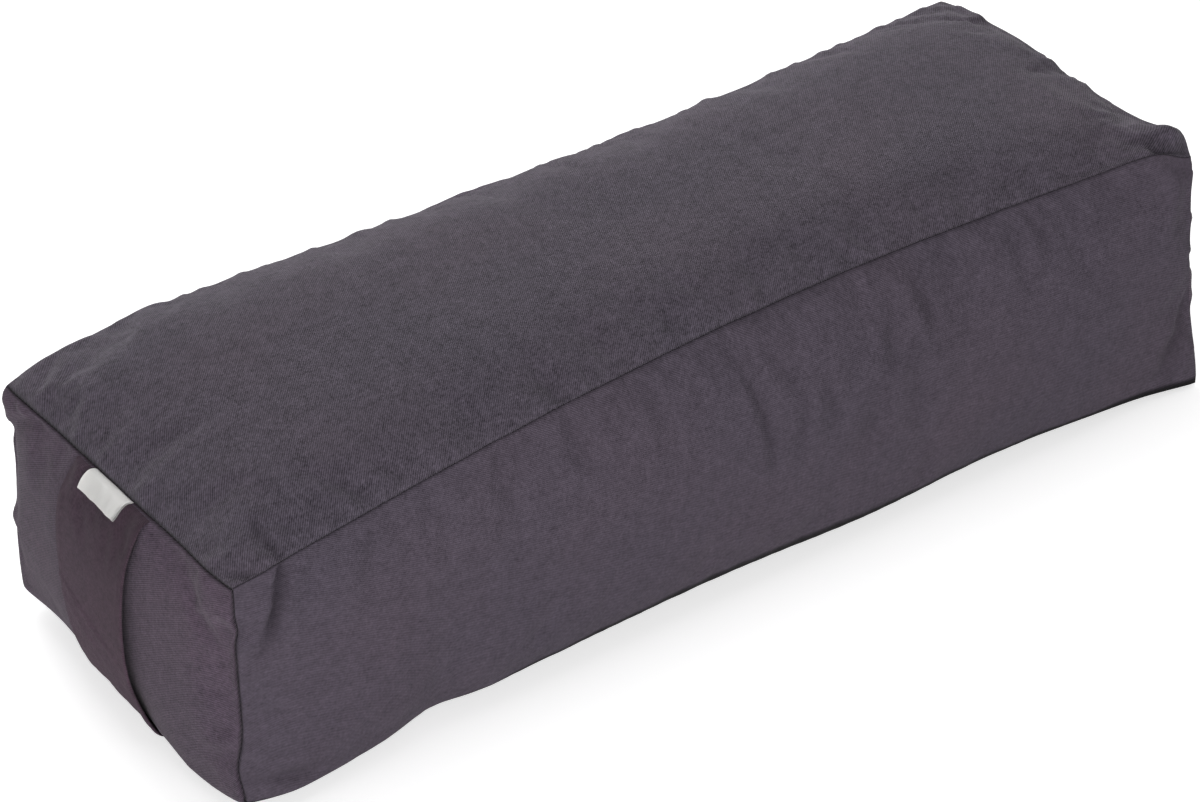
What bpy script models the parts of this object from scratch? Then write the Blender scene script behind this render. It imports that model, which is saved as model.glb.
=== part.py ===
"""Rectangular yoga bolster: a boxed twill cover with a strap and a zip, an inner bag and its filling."""

import math

import bpy
import bmesh
from mathutils import Vector

# Cushion, in metres, measured between its sewn seams
seam_length = 0.650
seam_width = 0.2265
seam_height = 0.149
far_end_rise = 0.009

# How the filling swells each face
top_crown = 0.018
top_crown_lean_share = 0.09
side_crown = 0.0113
end_crown = 0.0113

# How the seams are drawn in between the corners, and where the top ones rise
front_top_draw = 0.0206
front_top_lean_share = 0.87
back_top_draw = 0.0184
bottom_draw = 0.0105
corner_seam_draw = 0.0006
front_hump = 0.0115
front_hump_lean_share = -0.84
back_hump = 0.0098
back_hump_lean_share = -1.24
far_end_lean = 0.0035

# Corners: the ear at the far front, the slack ones behind, and how far each foot is off the floor
front_ear_rise = 0.0145
back_corner_drop = 0.0040
top_corner_rounding = 0.0024
seam_lift = 0.0055
handle_front_lift = 0.0070
handle_back_lift = 0.0035
far_front_drop = 0.0050
floor_cut = 0.0005

# Swells and hollows at the foot of the cushion beside the handle end. The first share is the place
# along the front or across the end, the second the half width
front_swell = 0.0055
front_swell_shares = (-0.85, 0.12)
front_hollow = 0.0055
front_hollow_shares = (-0.62, 0.06)
end_swell = 0.0022
end_swell_shares = (-0.65, 0.35)
end_hollow = 0.0046
end_hollow_shares = (0.65, 0.35)

# Powers of the curves: a higher one keeps a face level for longer and turns nearer its edge
end_power = 3
crown_width_power = 4
crown_length_power = 12
front_hump_power = 2.4
back_hump_power = 6
seam_power = 2
edge_power = 4
ear_power = 8
ear_width_power = 3
floor_length_power = 8
floor_width_power = 5

# Cloth, and the clearances between layers that touch
twill_thickness = 0.0008
bag_thickness = 0.0005
layer_gap = 0.0003
seam_gap = 0.0003

# Carrying strap, folded double
strap_width = 0.075
strap_offset = 0.005
strap_thickness = 0.0018
strap_slack = 0.0065
strap_column_shares = (-1.0, -0.95, 0.0, 0.95, 1.0)
strap_fold_shares = (0.45, 1.0, 1.0, 1.0, 0.45)

# Folded label in the top seam
label_width = 0.038
label_drop = 0.020
label_offset = 0.008
label_thickness = 0.00035

# Zip in the middle of the back
zip_length = 0.440
window_width = 0.010
window_margin = 0.003
tape_width = 0.0116
tape_thickness = 0.0005
tape_tail = 0.012
fold_margin = 0.001
tooth_pitch = 0.0044
tooth_tip_length = 0.0021
tooth_root_length = 0.0015
tooth_overlap = 0.0020
teeth_thickness = 0.0022
spine_width = 0.0013
zip_gap = 0.0003
top_stop_length = 0.0020
bottom_stop_length = 0.0050
tooth_shift_shares = {"upper": 0.25, "lower": 0.75}

# Slider and its pull
slider_length = 0.0120
flange_width = 0.0010
plate_thickness = 0.0013
bridge_width = 0.0024
bridge_post = 0.0012
bridge_thickness = 0.0010
pull_length = 0.026
pull_thickness = 0.0012
pull_arm_width = 0.0016
pull_tip_width = 0.0080
pull_hole_length = 0.0070
pull_hole_width = 0.0036
running_clearance = 0.0003
metal_bevel = 0.0002
cut_overrun = 0.0010

# Numbers of cells in the lattices, and of steps in the round corners. The crowding power draws the
# lattice lines together towards the seams
middle_cells = 4
outer_cells = 4
across_cells = 8
up_cells = 6
label_cells = 5
label_samples = 40
round_steps = 6
crowding_power = 1.5

# Angles above which an edge is shaded sharp, or bevelled
sharp_edge_degrees = 40
bevelled_edge_degrees = 30

half_length = seam_length / 2
half_width = seam_width / 2
zip_height = (seam_height + seam_lift) / 2
window_end_share = (zip_length / 2 + window_margin) / half_length
level_end_share = (zip_length / 2 + window_margin + tape_tail) / half_length
bag_depth = twill_thickness + layer_gap
tape_middle_depth = twill_thickness + layer_gap + tape_thickness / 2
bag_back_depth = tape_middle_depth + teeth_thickness / 2 + layer_gap
chain_half_width = tooth_overlap / 2 + zip_gap + spine_width
tape_inner_edge = chain_half_width + layer_gap
tape_outer_edge = tape_inner_edge + tape_width


def rise(share, power):
    """1 in the middle of a face and 0 at its two edges."""
    return 1 - abs(share) ** power


def side_level(along):
    """1 over the stretch that the stiff zip tape keeps straight, falling to 0 at the corners."""
    past = max(0.0, (abs(along) - level_end_share) / (1 - level_end_share))
    return 1 - past ** 2


def at_corner(along, across):
    """1 at the four corners, falling off steeply away from them."""
    return (along * across) ** ear_power


def swell(size, shares, share):
    """A round swelling of this size, centred on one share and as wide as the other."""
    middle, half_width_share = shares
    return size * math.exp(-((share - middle) / half_width_share) ** 2)


def top_seam(along, across):
    """Height that the top seams rise to, blended from the front one to the back one."""
    backward = (1 + across) / 2
    backward = backward ** 2 * (3 - 2 * backward)
    front = front_hump * (1 + front_hump_lean_share * along) * rise(along, front_hump_power)
    back = back_hump * (1 + back_hump_lean_share * along) * rise(along, back_hump_power)
    return seam_height + far_end_rise * (1 + along) / 2 + front + (back - front) * backward


def upper_skin(along, across):
    """Height of the outer skin on top, with its crown, its ear and its slack corners."""
    crown = top_crown * (1 + top_crown_lean_share * along)
    crown *= rise(along, crown_length_power) * rise(across, crown_width_power)
    ear = front_ear_rise * ((1 + along) / 2) ** ear_power * max(0.0, -across) ** ear_width_power
    drop = back_corner_drop * along ** ear_power * max(0.0, across) ** edge_power
    return top_seam(along, across) + crown + ear - drop


def lower_skin(along, across):
    """Height of the outer skin underneath: flat on the floor, lifting towards its seams and corners."""
    lift = seam_lift * (1 - rise(along, floor_length_power) * rise(across, floor_width_power))
    if along < 0:
        lift += (handle_front_lift if across < 0 else handle_back_lift) * at_corner(along, across)
    elif across < 0:
        lift -= far_front_drop * at_corner(along, across)
    return max(0.0, lift - floor_cut)


def skin_point(along, across, up, depth=0.0, back_depth=None):
    """A point of the cushion's skin, or of a layer that lies this deep under it.

    along, across and up run from -1 to 1: handle end to far end, front to back, bottom to top."""
    side_depth = depth if back_depth is None or across <= 0 else back_depth
    upper = (up + 1) / 2
    foot = (1 - upper) ** 2
    rounding = top_corner_rounding * at_corner(along, across) * upper ** edge_power
    x = half_length - depth + end_crown * rise(across, end_power) * rise(up, end_power)
    x -= corner_seam_draw * rise(up, seam_power) * across ** ear_power + rounding
    if along < 0:
        x += foot * (swell(end_swell, end_swell_shares, across) - swell(end_hollow, end_hollow_shares, across))
    else:
        x -= far_end_lean * up
    top_draw = front_top_draw * (1 + front_top_lean_share * along) if across < 0 else back_top_draw
    draw = top_draw * upper + bottom_draw * (1 - upper)
    y = half_width - side_depth + side_crown * side_level(along) * rise(up, seam_power)
    y -= draw * rise(along, seam_power) * up ** edge_power
    y -= corner_seam_draw * rise(up, seam_power) * along ** ear_power + rounding
    if across < 0:
        y += foot * (swell(front_swell, front_swell_shares, along)
                     - swell(front_hollow, front_hollow_shares, along))
    low = lower_skin(along, across) + depth
    high = upper_skin(along, across) - depth
    return Vector((along * x, across * y, low + upper * (high - low)))


def up_share_at(height, along, across=1.0):
    """The share of the cushion's height at which a side reaches this height."""
    low = lower_skin(along, across)
    high = upper_skin(along, across)
    return 2 * (height - low) / (high - low) - 1


def crowded(cells):
    """Shares from -1 to 1, closer together towards both ends."""
    half = cells // 2
    positive = [1 - (1 - step / half) ** crowding_power for step in range(half + 1)]
    return [-share for share in reversed(positive[1:])] + positive


def along_lines():
    """Shares of the half length, with a line at each end of the zip's window and of its tape."""
    positive = [window_end_share * step / middle_cells for step in range(middle_cells + 1)]
    for step in range(outer_cells + 1):
        eased = 1 - (1 - step / outer_cells) ** crowding_power
        positive.append(level_end_share + (1 - level_end_share) * eased)
    return [-share for share in reversed(positive[1:])] + positive


def set_back(lines, half_size):
    """The same lines, with the first and last drawn back by half the gap of a mitred seam."""
    share = seam_gap / math.sqrt(2) / half_size
    return [lines[0] + share] + lines[1:-1] + [lines[-1] - share]


def material(name, colour, roughness, metallic=0.0):
    made = bpy.data.materials.new(name)
    made.use_nodes = True
    shader = made.node_tree.nodes["Principled BSDF"]
    shader.inputs["Base Color"].default_value = (*colour, 1.0)
    shader.inputs["Roughness"].default_value = roughness
    shader.inputs["Metallic"].default_value = metallic
    made.diffuse_color = (*colour, 1.0)
    return made


def add_empty(name, parent=None, location=(0.0, 0.0, 0.0)):
    made = bpy.data.objects.new(name, None)
    bpy.context.scene.collection.objects.link(made)
    made.parent = parent
    made.location = location
    return made


def add_object(name, points, faces, finish, parent, smooth=False):
    """Makes one closed object whose points are given from its parent's origin."""
    mesh = bpy.data.meshes.new(name)
    mesh.from_pydata(points, [], faces)
    shell = bmesh.new()
    shell.from_mesh(mesh)
    bmesh.ops.recalc_face_normals(shell, faces=shell.faces)
    shell.to_mesh(mesh)
    shell.free()
    mesh.materials.append(finish)
    if smooth:
        mesh.shade_smooth()
        mesh.set_sharp_from_angle(angle=math.radians(sharp_edge_degrees))
    made = bpy.data.objects.new(name, mesh)
    bpy.context.scene.collection.objects.link(made)
    made.parent = parent
    return made


def cell_triangles(corners, leaning):
    """Two triangles over a cell, split along the diagonal that every layer shares."""
    low_left, low_right, high_right, high_left = corners
    if leaning:
        return [(low_left, low_right, high_right), (low_left, high_right, high_left)]
    return [(low_left, low_right, high_left), (low_right, high_right, high_left)]


def add_cloth(name, outer, inner, leaning, finish, parent):
    """A closed sheet between two grids of points. leaning(row, column) picks a cell's diagonal."""
    rows = len(outer)
    columns = len(outer[0])
    points = [point for grid in (outer, inner) for row in grid for point in row]
    faces = []

    def corner(layer, row, column):
        return (layer * rows + row) * columns + column

    for row in range(rows - 1):
        for column in range(columns - 1):
            for layer in (0, 1):
                cell = [corner(layer, row, column), corner(layer, row + 1, column),
                        corner(layer, row + 1, column + 1), corner(layer, row, column + 1)]
                faces += cell_triangles(cell, leaning(row, column))
    for row in range(rows - 1):
        for column in (0, columns - 1):
            faces.append((corner(0, row, column), corner(0, row + 1, column),
                          corner(1, row + 1, column), corner(1, row, column)))
    for column in range(columns - 1):
        for row in (0, rows - 1):
            faces.append((corner(0, row, column), corner(0, row, column + 1),
                          corner(1, row, column + 1), corner(1, row, column)))
    return add_object(name, points, faces, finish, parent, smooth=True)


def mirrored_lean(first_lines, second_lines):
    """Diagonals that run the same way in opposite quarters of a face."""
    def leaning(row, column):
        first = first_lines[row] + first_lines[row + 1]
        second = second_lines[column] + second_lines[column + 1]
        return (first > 0) == (second > 0)
    return leaning


def face_place(face):
    """Turns two shares on a face into the three shares of the whole cushion."""
    return {
        "top": lambda along, across: (along, across, 1.0),
        "bottom": lambda along, across: (along, across, -1.0),
        "front": lambda along, up: (along, -1.0, up),
        "back": lambda along, up: (along, 1.0, up),
        "handle_end": lambda across, up: (-1.0, across, up),
        "far_end": lambda across, up: (1.0, across, up),
    }[face]


def face_lines(face):
    """The lattice lines of a face and the half sizes that its seams are set back by."""
    lines = {
        "along": (along_lines(), half_length),
        "across": (crowded(across_cells), half_width),
        "up": (crowded(up_cells), seam_height / 2),
    }
    ways = {"top": ("along", "across"), "bottom": ("along", "across"), "front": ("along", "up"),
            "back": ("along", "up"), "handle_end": ("across", "up"), "far_end": ("across", "up")}
    return [lines[way] for way in ways[face]]


def add_panel(name, face, depth, back_depth, thickness, finish, parent):
    """One sewn panel of the cover or of the inner bag."""
    (first, first_half), (second, second_half) = face_lines(face)
    place = face_place(face)
    grids = []
    for deeper in (0.0, thickness):
        grids.append([[skin_point(*place(p, q), depth + deeper, back_depth + deeper)
                       for q in set_back(second, second_half)] for p in set_back(first, first_half)])
    return add_cloth(name, *grids, mirrored_lean(first, second), finish, parent)


def window_half_width(along):
    """Half the opening between the back strips: the zip's window, or the gap of the seam past it."""
    closed = seam_gap / 2
    past = (abs(along) - window_end_share) / (level_end_share - window_end_share)
    return closed + (window_width / 2 - closed) * min(1.0, max(0.0, 1 - past))


def strip_shares(along, side):
    """Shares of the height at the lattice lines of a back strip, from the zip to the seam."""
    seam_share = seam_gap / math.sqrt(2) / (seam_height / 2)
    near = up_share_at(zip_height + side * window_half_width(along), along)
    over_tape = up_share_at(zip_height + side * (tape_outer_edge + fold_margin), along)
    seam = side * (1 - seam_share)
    shared = [side * share for share in crowded(up_cells) if share > 0]
    return [near, over_tape] + shared[:-1] + [seam]


def add_back_strip(name, side, finish, parent):
    """The part of the cover's back above or below the zip."""
    lines = along_lines()
    grids = []
    for depth in (0.0, twill_thickness):
        grids.append([[skin_point(along, 1.0, up, depth) for up in strip_shares(along, side)]
                      for along in set_back(lines, half_length)])
    return add_cloth(name, *grids, lambda row, column: (lines[row] + lines[row + 1] > 0) == (side > 0),
                     finish, parent)


def add_tape(name, side, finish, parent):
    """One woven tape of the zip, behind its strip."""
    lines = [along for along in along_lines() if abs(along) <= level_end_share]
    edges = (tape_inner_edge, window_width / 2, tape_outer_edge)
    grids = []
    for depth in (twill_thickness + layer_gap, twill_thickness + layer_gap + tape_thickness):
        grids.append([[skin_point(along, 1.0, up_share_at(zip_height + side * edge, along), depth)
                       for edge in edges] for along in lines])
    return add_cloth(name, *grids, lambda row, column: (lines[row] + lines[row + 1] > 0) == (side > 0),
                     finish, parent)


def add_filling(finish, parent):
    """The husks that fill the inner bag, as one closed solid."""
    depth = bag_depth + bag_thickness + layer_gap
    back_depth = bag_back_depth + bag_thickness + layer_gap
    numbers = {}
    points = []
    faces = []

    def number(shares):
        key = tuple(round(share, 9) for share in shares)
        if key not in numbers:
            numbers[key] = len(points)
            points.append(skin_point(*shares, depth, back_depth))
        return numbers[key]

    for face in ("top", "bottom", "front", "back", "handle_end", "far_end"):
        (first, _), (second, _) = face_lines(face)
        place = face_place(face)
        leaning = mirrored_lean(first, second)
        for row in range(len(first) - 1):
            for column in range(len(second) - 1):
                corners = [(row, column), (row + 1, column), (row + 1, column + 1), (row, column + 1)]
                cell = [number(place(first[i], second[j])) for i, j in corners]
                faces += cell_triangles(cell, leaning(row, column))
    return add_object("husk_filling", points, faces, finish, parent, smooth=True)


def strap_point(width_share, up, height):
    """A point of the strap, this high above its inner side, which stands off the swollen end."""
    y = strap_offset + width_share * strap_width / 2
    behind = skin_point(-1.0, y / half_width, up)
    stand_off = layer_gap + strap_slack * rise(up, seam_power) + height
    return Vector((behind.x - stand_off, y, behind.z))


def strap_lines():
    """The lattice lines of the end panel behind the strap, with one more between each two."""
    lines = crowded(up_cells)
    halved = [(before + after) / 2 for before, after in zip(lines, lines[1:])]
    return sorted(lines + halved)


def add_strap(finish, parent):
    """The carrying strap: caught in the top and bottom seams and bowed out over the end."""
    outer = []
    inner = []
    for up in strap_lines():
        outer_row = []
        inner_row = []
        for share, fold in zip(strap_column_shares, strap_fold_shares):
            middle = strap_thickness / 2
            outer_row.append(strap_point(share, up, middle + middle * fold))
            inner_row.append(strap_point(share, up, middle - middle * fold))
        outer.append(outer_row)
        inner.append(inner_row)
    return add_cloth("handle_strap", outer, inner, lambda row, column: row >= up_cells, finish, parent)


def label_path():
    """Centre line of the folded label in the plane across the seam, as points with their normals.

    It runs down over the strap, turns back under itself and ends in the seam again."""
    width_share = (label_offset - strap_offset) / (strap_width / 2)
    samples = [strap_point(width_share, 1 - step / label_samples, strap_thickness)
               for step in range(label_samples)]
    run = [0.0]
    for before, after in zip(samples, samples[1:]):
        run.append(run[-1] + (after - before).length)

    def over_strap(distance):
        index = max(i for i in range(len(run) - 1) if run[i] <= distance)
        share = (distance - run[index]) / (run[index + 1] - run[index])
        step = samples[index + 1] - samples[index]
        point = samples[index] + step * share
        ahead = Vector((step.x, 0.0, step.z)).normalized()
        return point, ahead, Vector((ahead.z, 0.0, -ahead.x))

    inner_rise = layer_gap + label_thickness / 2
    fold_radius = (label_thickness + layer_gap) / 2
    straight = label_drop - fold_radius - label_thickness / 2
    outer_rise = inner_rise + 2 * fold_radius
    path = []
    for step in range(label_cells + 1):
        point, _, outward = over_strap(straight * step / label_cells)
        path.append((point + outward * outer_rise, outward))
    turn_point, ahead, outward = over_strap(straight)
    centre = turn_point + outward * (inner_rise + fold_radius)
    for step in range(1, round_steps):
        angle = math.pi * step / round_steps
        normal = outward * math.cos(angle) + ahead * math.sin(angle)
        path.append((centre + normal * fold_radius, normal))
    for step in range(label_cells, -1, -1):
        point, _, outward = over_strap(straight * step / label_cells)
        path.append((point + outward * inner_rise, -outward))
    return path


def add_label(finish, parent):
    """The blank side label, folded double and caught in the seam above the strap."""
    path = label_path()
    grids = []
    for side in (1, -1):
        grid = []
        for point, normal in path:
            placed = point + normal * side * label_thickness / 2
            grid.append([Vector((placed.x, label_offset + share * label_width / 2, placed.z))
                         for share in (-1, 0, 1)])
        grids.append(grid)
    return add_cloth("side_label", *grids, lambda row, column: column == 0, finish, parent)


def back_skin():
    """How far back the cover's skin lies along the zip."""
    return skin_point(0.0, 1.0, up_share_at(zip_height, 0.0)).y


def add_teeth(name, side, first_tooth, count, start, end, finish, parent):
    """One row of teeth on its spine. Each tooth widens to its tip, so that the rows lock together."""
    tip = -side * tooth_overlap / 2
    front = side * (tooth_overlap / 2 + zip_gap)
    rear = side * chain_half_width
    outline = [(start, front)]
    backs = [start]
    for index in range(count):
        middle = first_tooth + index * tooth_pitch
        outline += [(middle - tooth_root_length / 2, front), (middle - tooth_tip_length / 2, tip),
                    (middle + tooth_tip_length / 2, tip), (middle + tooth_root_length / 2, front)]
        backs.append(middle)
    outline.append((end, front))
    backs.append(end)
    flat = outline + [(x, rear) for x in backs]
    points = []
    for y in (teeth_thickness / 2, -teeth_thickness / 2):
        points += [Vector((x, y, z)) for x, z in flat]
    layer = len(flat)
    first_back = len(outline)
    plates = []
    for index in range(count):
        root = 1 + 4 * index
        back = first_back + index
        plates.append((root, root + 1, root + 2, root + 3))
        plates.append((root - 1, root, back + 1, back))
        plates.append((root, root + 3, back + 1))
    plates.append((first_back - 2, first_back - 1, first_back + count + 1, first_back + count))
    faces = plates + [tuple(corner + layer for corner in plate) for plate in plates]
    edge = list(range(first_back)) + list(range(layer - 1, first_back - 1, -1))
    for here, following in zip(edge, edge[1:] + edge[:1]):
        faces.append((here, following, following + layer, here + layer))
    return add_object(name, points, faces, finish, parent)


def box_points(low, high):
    """Corners and faces of an upright box."""
    points = [Vector((x, y, z)) for x in (low[0], high[0]) for y in (low[1], high[1])
              for z in (low[2], high[2])]
    faces = [(0, 1, 3, 2), (4, 6, 7, 5), (0, 4, 5, 1), (2, 3, 7, 6), (0, 2, 6, 4), (1, 5, 7, 3)]
    return points, faces


def add_bevel(made, width):
    bevel = made.modifiers.new("Edges", "BEVEL")
    bevel.width = width
    bevel.segments = 1
    bevel.limit_method = "ANGLE"
    bevel.angle_limit = math.radians(bevelled_edge_degrees)


def add_stop(name, start, end, low, high, finish, parent):
    """A stop of the zip, crimped over the ends of the spines."""
    points, faces = box_points((start, -teeth_thickness / 2, low), (end, teeth_thickness / 2, high))
    made = add_object(name, points, faces, finish, parent)
    add_bevel(made, metal_bevel)
    return made


def prism(outline, low, high, axis):
    """Extrudes an outline between two places along an axis. Its other two axes keep their order."""
    points = []
    for place in (low, high):
        for first, second in outline:
            shares = [first, second]
            shares.insert("xyz".index(axis), place)
            points.append(Vector(shares))
    count = len(outline)
    faces = [tuple(range(count)), tuple(range(2 * count - 1, count - 1, -1))]
    for index in range(count):
        following = (index + 1) % count
        faces.append((index, following, following + count, index + count))
    return points, faces


def combine(made, tool, operation):
    """Joins a tool to an object or cuts it away. The tool itself is only a guide."""
    tool.hide_render = True
    tool.display_type = "WIRE"
    join = made.modifiers.new(tool.name, "BOOLEAN")
    join.operation = operation
    join.object = tool
    join.solver = "EXACT"


def bar_clearance():
    """Half the height of the space in which the pull's square bar turns."""
    return pull_thickness / 2 * math.sqrt(2) + running_clearance


def slider_levels():
    """Heights above the tape's middle: the plate's underside and top, the pull's bar, the bridge's top."""
    under = teeth_thickness / 2 + running_clearance
    top = under + plate_thickness
    bar = top + bar_clearance()
    return under, top, bar, bar + bar_clearance() + bridge_thickness


def add_slider(finish, parent):
    """The slider: a plate over the chain, with a flange down each side of it and a bridge for the pull."""
    under, top, bar, crest = slider_levels()
    inside = chain_half_width + running_clearance
    outside = inside + flange_width
    foot = tape_thickness / 2 + running_clearance
    channel = [(foot, -outside), (foot, -inside), (under, -inside), (under, inside), (foot, inside),
               (foot, outside), (top, outside), (top, -outside)]
    made = add_object("zip_slider", *prism(channel, -slider_length / 2, slider_length / 2, "x"),
                      finish, parent)
    add_bevel(made, metal_bevel)
    reach = bar_clearance()
    rounding = bridge_post
    outline = [(-reach, top - plate_thickness / 2), (-reach, crest - bridge_thickness),
               (reach, crest - bridge_thickness), (reach, top - plate_thickness / 2),
               (reach + bridge_post, top - plate_thickness / 2)]
    for side in (1, -1):
        for step in range(round_steps + 1):
            angle = math.pi / 2 * step / round_steps
            if side < 0:
                angle = math.pi / 2 - angle
            x = reach + bridge_post - rounding + rounding * math.cos(angle)
            outline.append((side * x, crest - rounding + rounding * math.sin(angle)))
    outline.append((-reach - bridge_post, top - plate_thickness / 2))
    bridge = add_object("zip_slider_bridge_guide", *prism(outline, -bridge_width / 2, bridge_width / 2, "z"),
                        finish, parent)
    combine(made, bridge, "UNION")
    return made


def pull_inside():
    """Distance from the bar's middle to the tab, which swings round the bridge."""
    _, _, bar, crest = slider_levels()
    corner = math.hypot(bar_clearance() + bridge_post, crest - bar)
    return corner + running_clearance


def without_doubles(outline):
    """Drops a point that lies on the one before it, so that no edge has zero length."""
    kept = [outline[0]]
    for point in outline[1:]:
        if math.dist(point, kept[-1]) > metal_bevel / 2:
            kept.append(point)
    return kept


def add_pull(finish, parent):
    """The pull: a bar under the bridge, two arms beside it and a tab with a hole."""
    bar = pull_thickness / 2
    eye_half = bridge_width / 2 + running_clearance
    ring_half = eye_half + pull_arm_width
    tip_half = pull_tip_width / 2
    turn = pull_length - bar - tip_half
    outline = [(-bar, -ring_half), (pull_inside(), -ring_half)]
    for step in range(2 * round_steps + 1):
        angle = -math.pi / 2 + math.pi * step / (2 * round_steps)
        outline.append((turn + tip_half * math.cos(angle), tip_half * math.sin(angle)))
    outline += [(pull_inside(), ring_half), (-bar, ring_half)]
    made = add_object("zip_pull", *prism(without_doubles(outline), -bar, bar, "y"), finish, parent)
    add_bevel(made, metal_bevel)
    eye = box_points((bar, -bar - cut_overrun, -eye_half), (pull_inside(), bar + cut_overrun, eye_half))
    combine(made, add_object("zip_pull_eye_guide", *eye, finish, parent), "DIFFERENCE")
    hole = []
    hole_half = pull_hole_width / 2
    for step in range(4 * round_steps):
        angle = 2 * math.pi * (step + 0.5) / (4 * round_steps)
        shift = math.copysign((pull_hole_length - pull_hole_width) / 2, math.cos(angle))
        hole.append((turn - tip_half / 2 + shift + hole_half * math.cos(angle), hole_half * math.sin(angle)))
    cutter = add_object("zip_pull_hole_guide", *prism(hole, -bar - cut_overrun, bar + cut_overrun, "y"),
                        finish, parent)
    combine(made, cutter, "DIFFERENCE")
    return made


def add_zip(frame, materials):
    """Tapes, rows of teeth and stops, and the slider and pull on their own axes."""
    chain = add_empty("zip_chain_line", frame, (0.0, back_skin() - tape_middle_depth, zip_height))
    for name, side in (("upper", 1), ("lower", -1)):
        add_tape(f"zip_tape_{name}", side, materials["zip_tape"], frame)
    chain_start = -zip_length / 2
    chain_end = zip_length / 2
    teeth_start = chain_start + top_stop_length + zip_gap
    teeth_end = chain_end - bottom_stop_length - zip_gap
    count = int((teeth_end - teeth_start) / tooth_pitch)
    for name, side in (("upper", 1), ("lower", -1)):
        first_tooth = teeth_start + tooth_shift_shares[name] * tooth_pitch
        add_teeth(f"zip_teeth_{name}", side, first_tooth, count, teeth_start, teeth_end,
                  materials["zip_teeth"], chain)
        low, high = sorted((side * zip_gap / 2, side * chain_half_width))
        add_stop(f"zip_top_stop_{name}", chain_start, chain_start + top_stop_length, low, high,
                 materials["zip_metal"], chain)
    add_stop("zip_bottom_stop", chain_end - bottom_stop_length, chain_end, -chain_half_width,
             chain_half_width, materials["zip_metal"], chain)
    slider_line = add_empty("zip_slider_line", chain, (teeth_start + slider_length / 2, 0.0, 0.0))
    add_slider(materials["zip_metal"], slider_line)
    pull_axis = add_empty("zip_pull_axis", slider_line, (0.0, slider_levels()[2], 0.0))
    add_pull(materials["zip_metal"], pull_axis)


def add_cover(frame, finish):
    """The six sides of the twill cover. The back is two strips with the zip between them."""
    for face in ("top", "bottom", "front", "handle_end", "far_end"):
        add_panel(f"cover_{face}_panel", face, 0.0, 0.0, twill_thickness, finish, frame)
    add_back_strip("cover_back_upper_strip", 1, finish, frame)
    add_back_strip("cover_back_lower_strip", -1, finish, frame)


def add_inner_bag(frame, finish):
    """The six panels of the plain cotton bag inside the cover."""
    for face in ("top", "bottom", "front", "back", "handle_end", "far_end"):
        add_panel(f"inner_bag_{face}", face, bag_depth, bag_back_depth, bag_thickness, finish, frame)


def stand_on_origin(frame):
    """Moves the frame so that the origin is in the middle of the bolster's footprint."""
    bpy.context.view_layer.update()
    scene_now = bpy.context.evaluated_depsgraph_get()
    corners = []
    for made in bpy.context.scene.objects:
        if made.type == "MESH" and not made.hide_render:
            shown = made.evaluated_get(scene_now)
            corners += [shown.matrix_world @ Vector(corner) for corner in shown.bound_box]
    for axis in (0, 1):
        places = [corner[axis] for corner in corners]
        frame.location[axis] = -(min(places) + max(places)) / 2
    frame.location.z = -min(corner.z for corner in corners)
    bpy.context.view_layer.update()


def build_bolster():
    for old in list(bpy.data.objects):
        bpy.data.objects.remove(old)
    materials = {
        "twill": material("charcoal_twill", (0.085, 0.070, 0.090), 0.92),
        "strap": material("charcoal_strap_twill", (0.085, 0.070, 0.088), 0.92),
        "label": material("white_satin_label", (0.84, 0.83, 0.80), 0.60),
        "zip_tape": material("zip_tape_weave", (0.050, 0.042, 0.053), 0.85),
        "zip_teeth": material("zip_teeth_plastic", (0.030, 0.027, 0.032), 0.40),
        "zip_metal": material("zip_gunmetal", (0.22, 0.21, 0.22), 0.35, 1.0),
        "bag": material("unbleached_cotton", (0.66, 0.60, 0.48), 0.90),
        "husk": material("dry_husk", (0.42, 0.28, 0.14), 0.85),
    }
    frame = add_empty("bolster")
    add_cover(frame, materials["twill"])
    add_strap(materials["strap"], frame)
    add_label(materials["label"], frame)
    add_zip(frame, materials)
    add_inner_bag(frame, materials["bag"])
    add_filling(materials["husk"], frame)
    stand_on_origin(frame)


build_bolster()
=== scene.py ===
import math

import bpy
import numpy as np
from mathutils import Matrix, Vector


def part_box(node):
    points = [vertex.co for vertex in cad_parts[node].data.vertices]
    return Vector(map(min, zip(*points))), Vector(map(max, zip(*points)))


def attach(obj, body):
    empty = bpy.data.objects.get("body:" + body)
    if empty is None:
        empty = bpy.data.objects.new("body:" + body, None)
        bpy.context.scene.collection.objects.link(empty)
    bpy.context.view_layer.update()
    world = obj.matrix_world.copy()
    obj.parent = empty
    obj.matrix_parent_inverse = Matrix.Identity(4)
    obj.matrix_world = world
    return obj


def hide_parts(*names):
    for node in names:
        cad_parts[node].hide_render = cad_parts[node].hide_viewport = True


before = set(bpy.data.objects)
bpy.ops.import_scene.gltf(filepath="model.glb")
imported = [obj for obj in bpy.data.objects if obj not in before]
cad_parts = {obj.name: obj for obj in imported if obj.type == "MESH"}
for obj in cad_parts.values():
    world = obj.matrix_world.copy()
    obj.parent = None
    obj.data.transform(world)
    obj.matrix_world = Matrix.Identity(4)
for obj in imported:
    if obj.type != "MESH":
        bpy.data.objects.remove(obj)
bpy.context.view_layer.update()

print("frame loaded:", len(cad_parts), "nodes")


def addObject(name, data):
    made = bpy.data.objects.new(name, data)
    bpy.context.scene.collection.objects.link(made)
    return made


# Camera of the photograph
cameraSetup = {
    "azimuth": -35.92,  # degrees round from the middle of the long front
    "elevation": 36.00,
    "roll": -0.36,
    "distance": 2.536,
    "lens": 135.84,  # mm, like the sensor's width
    "sensor": 36,
    "clipEnd": 50,
    "aim": (-0.0080, 0.0014, 0.0643),
}


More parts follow.
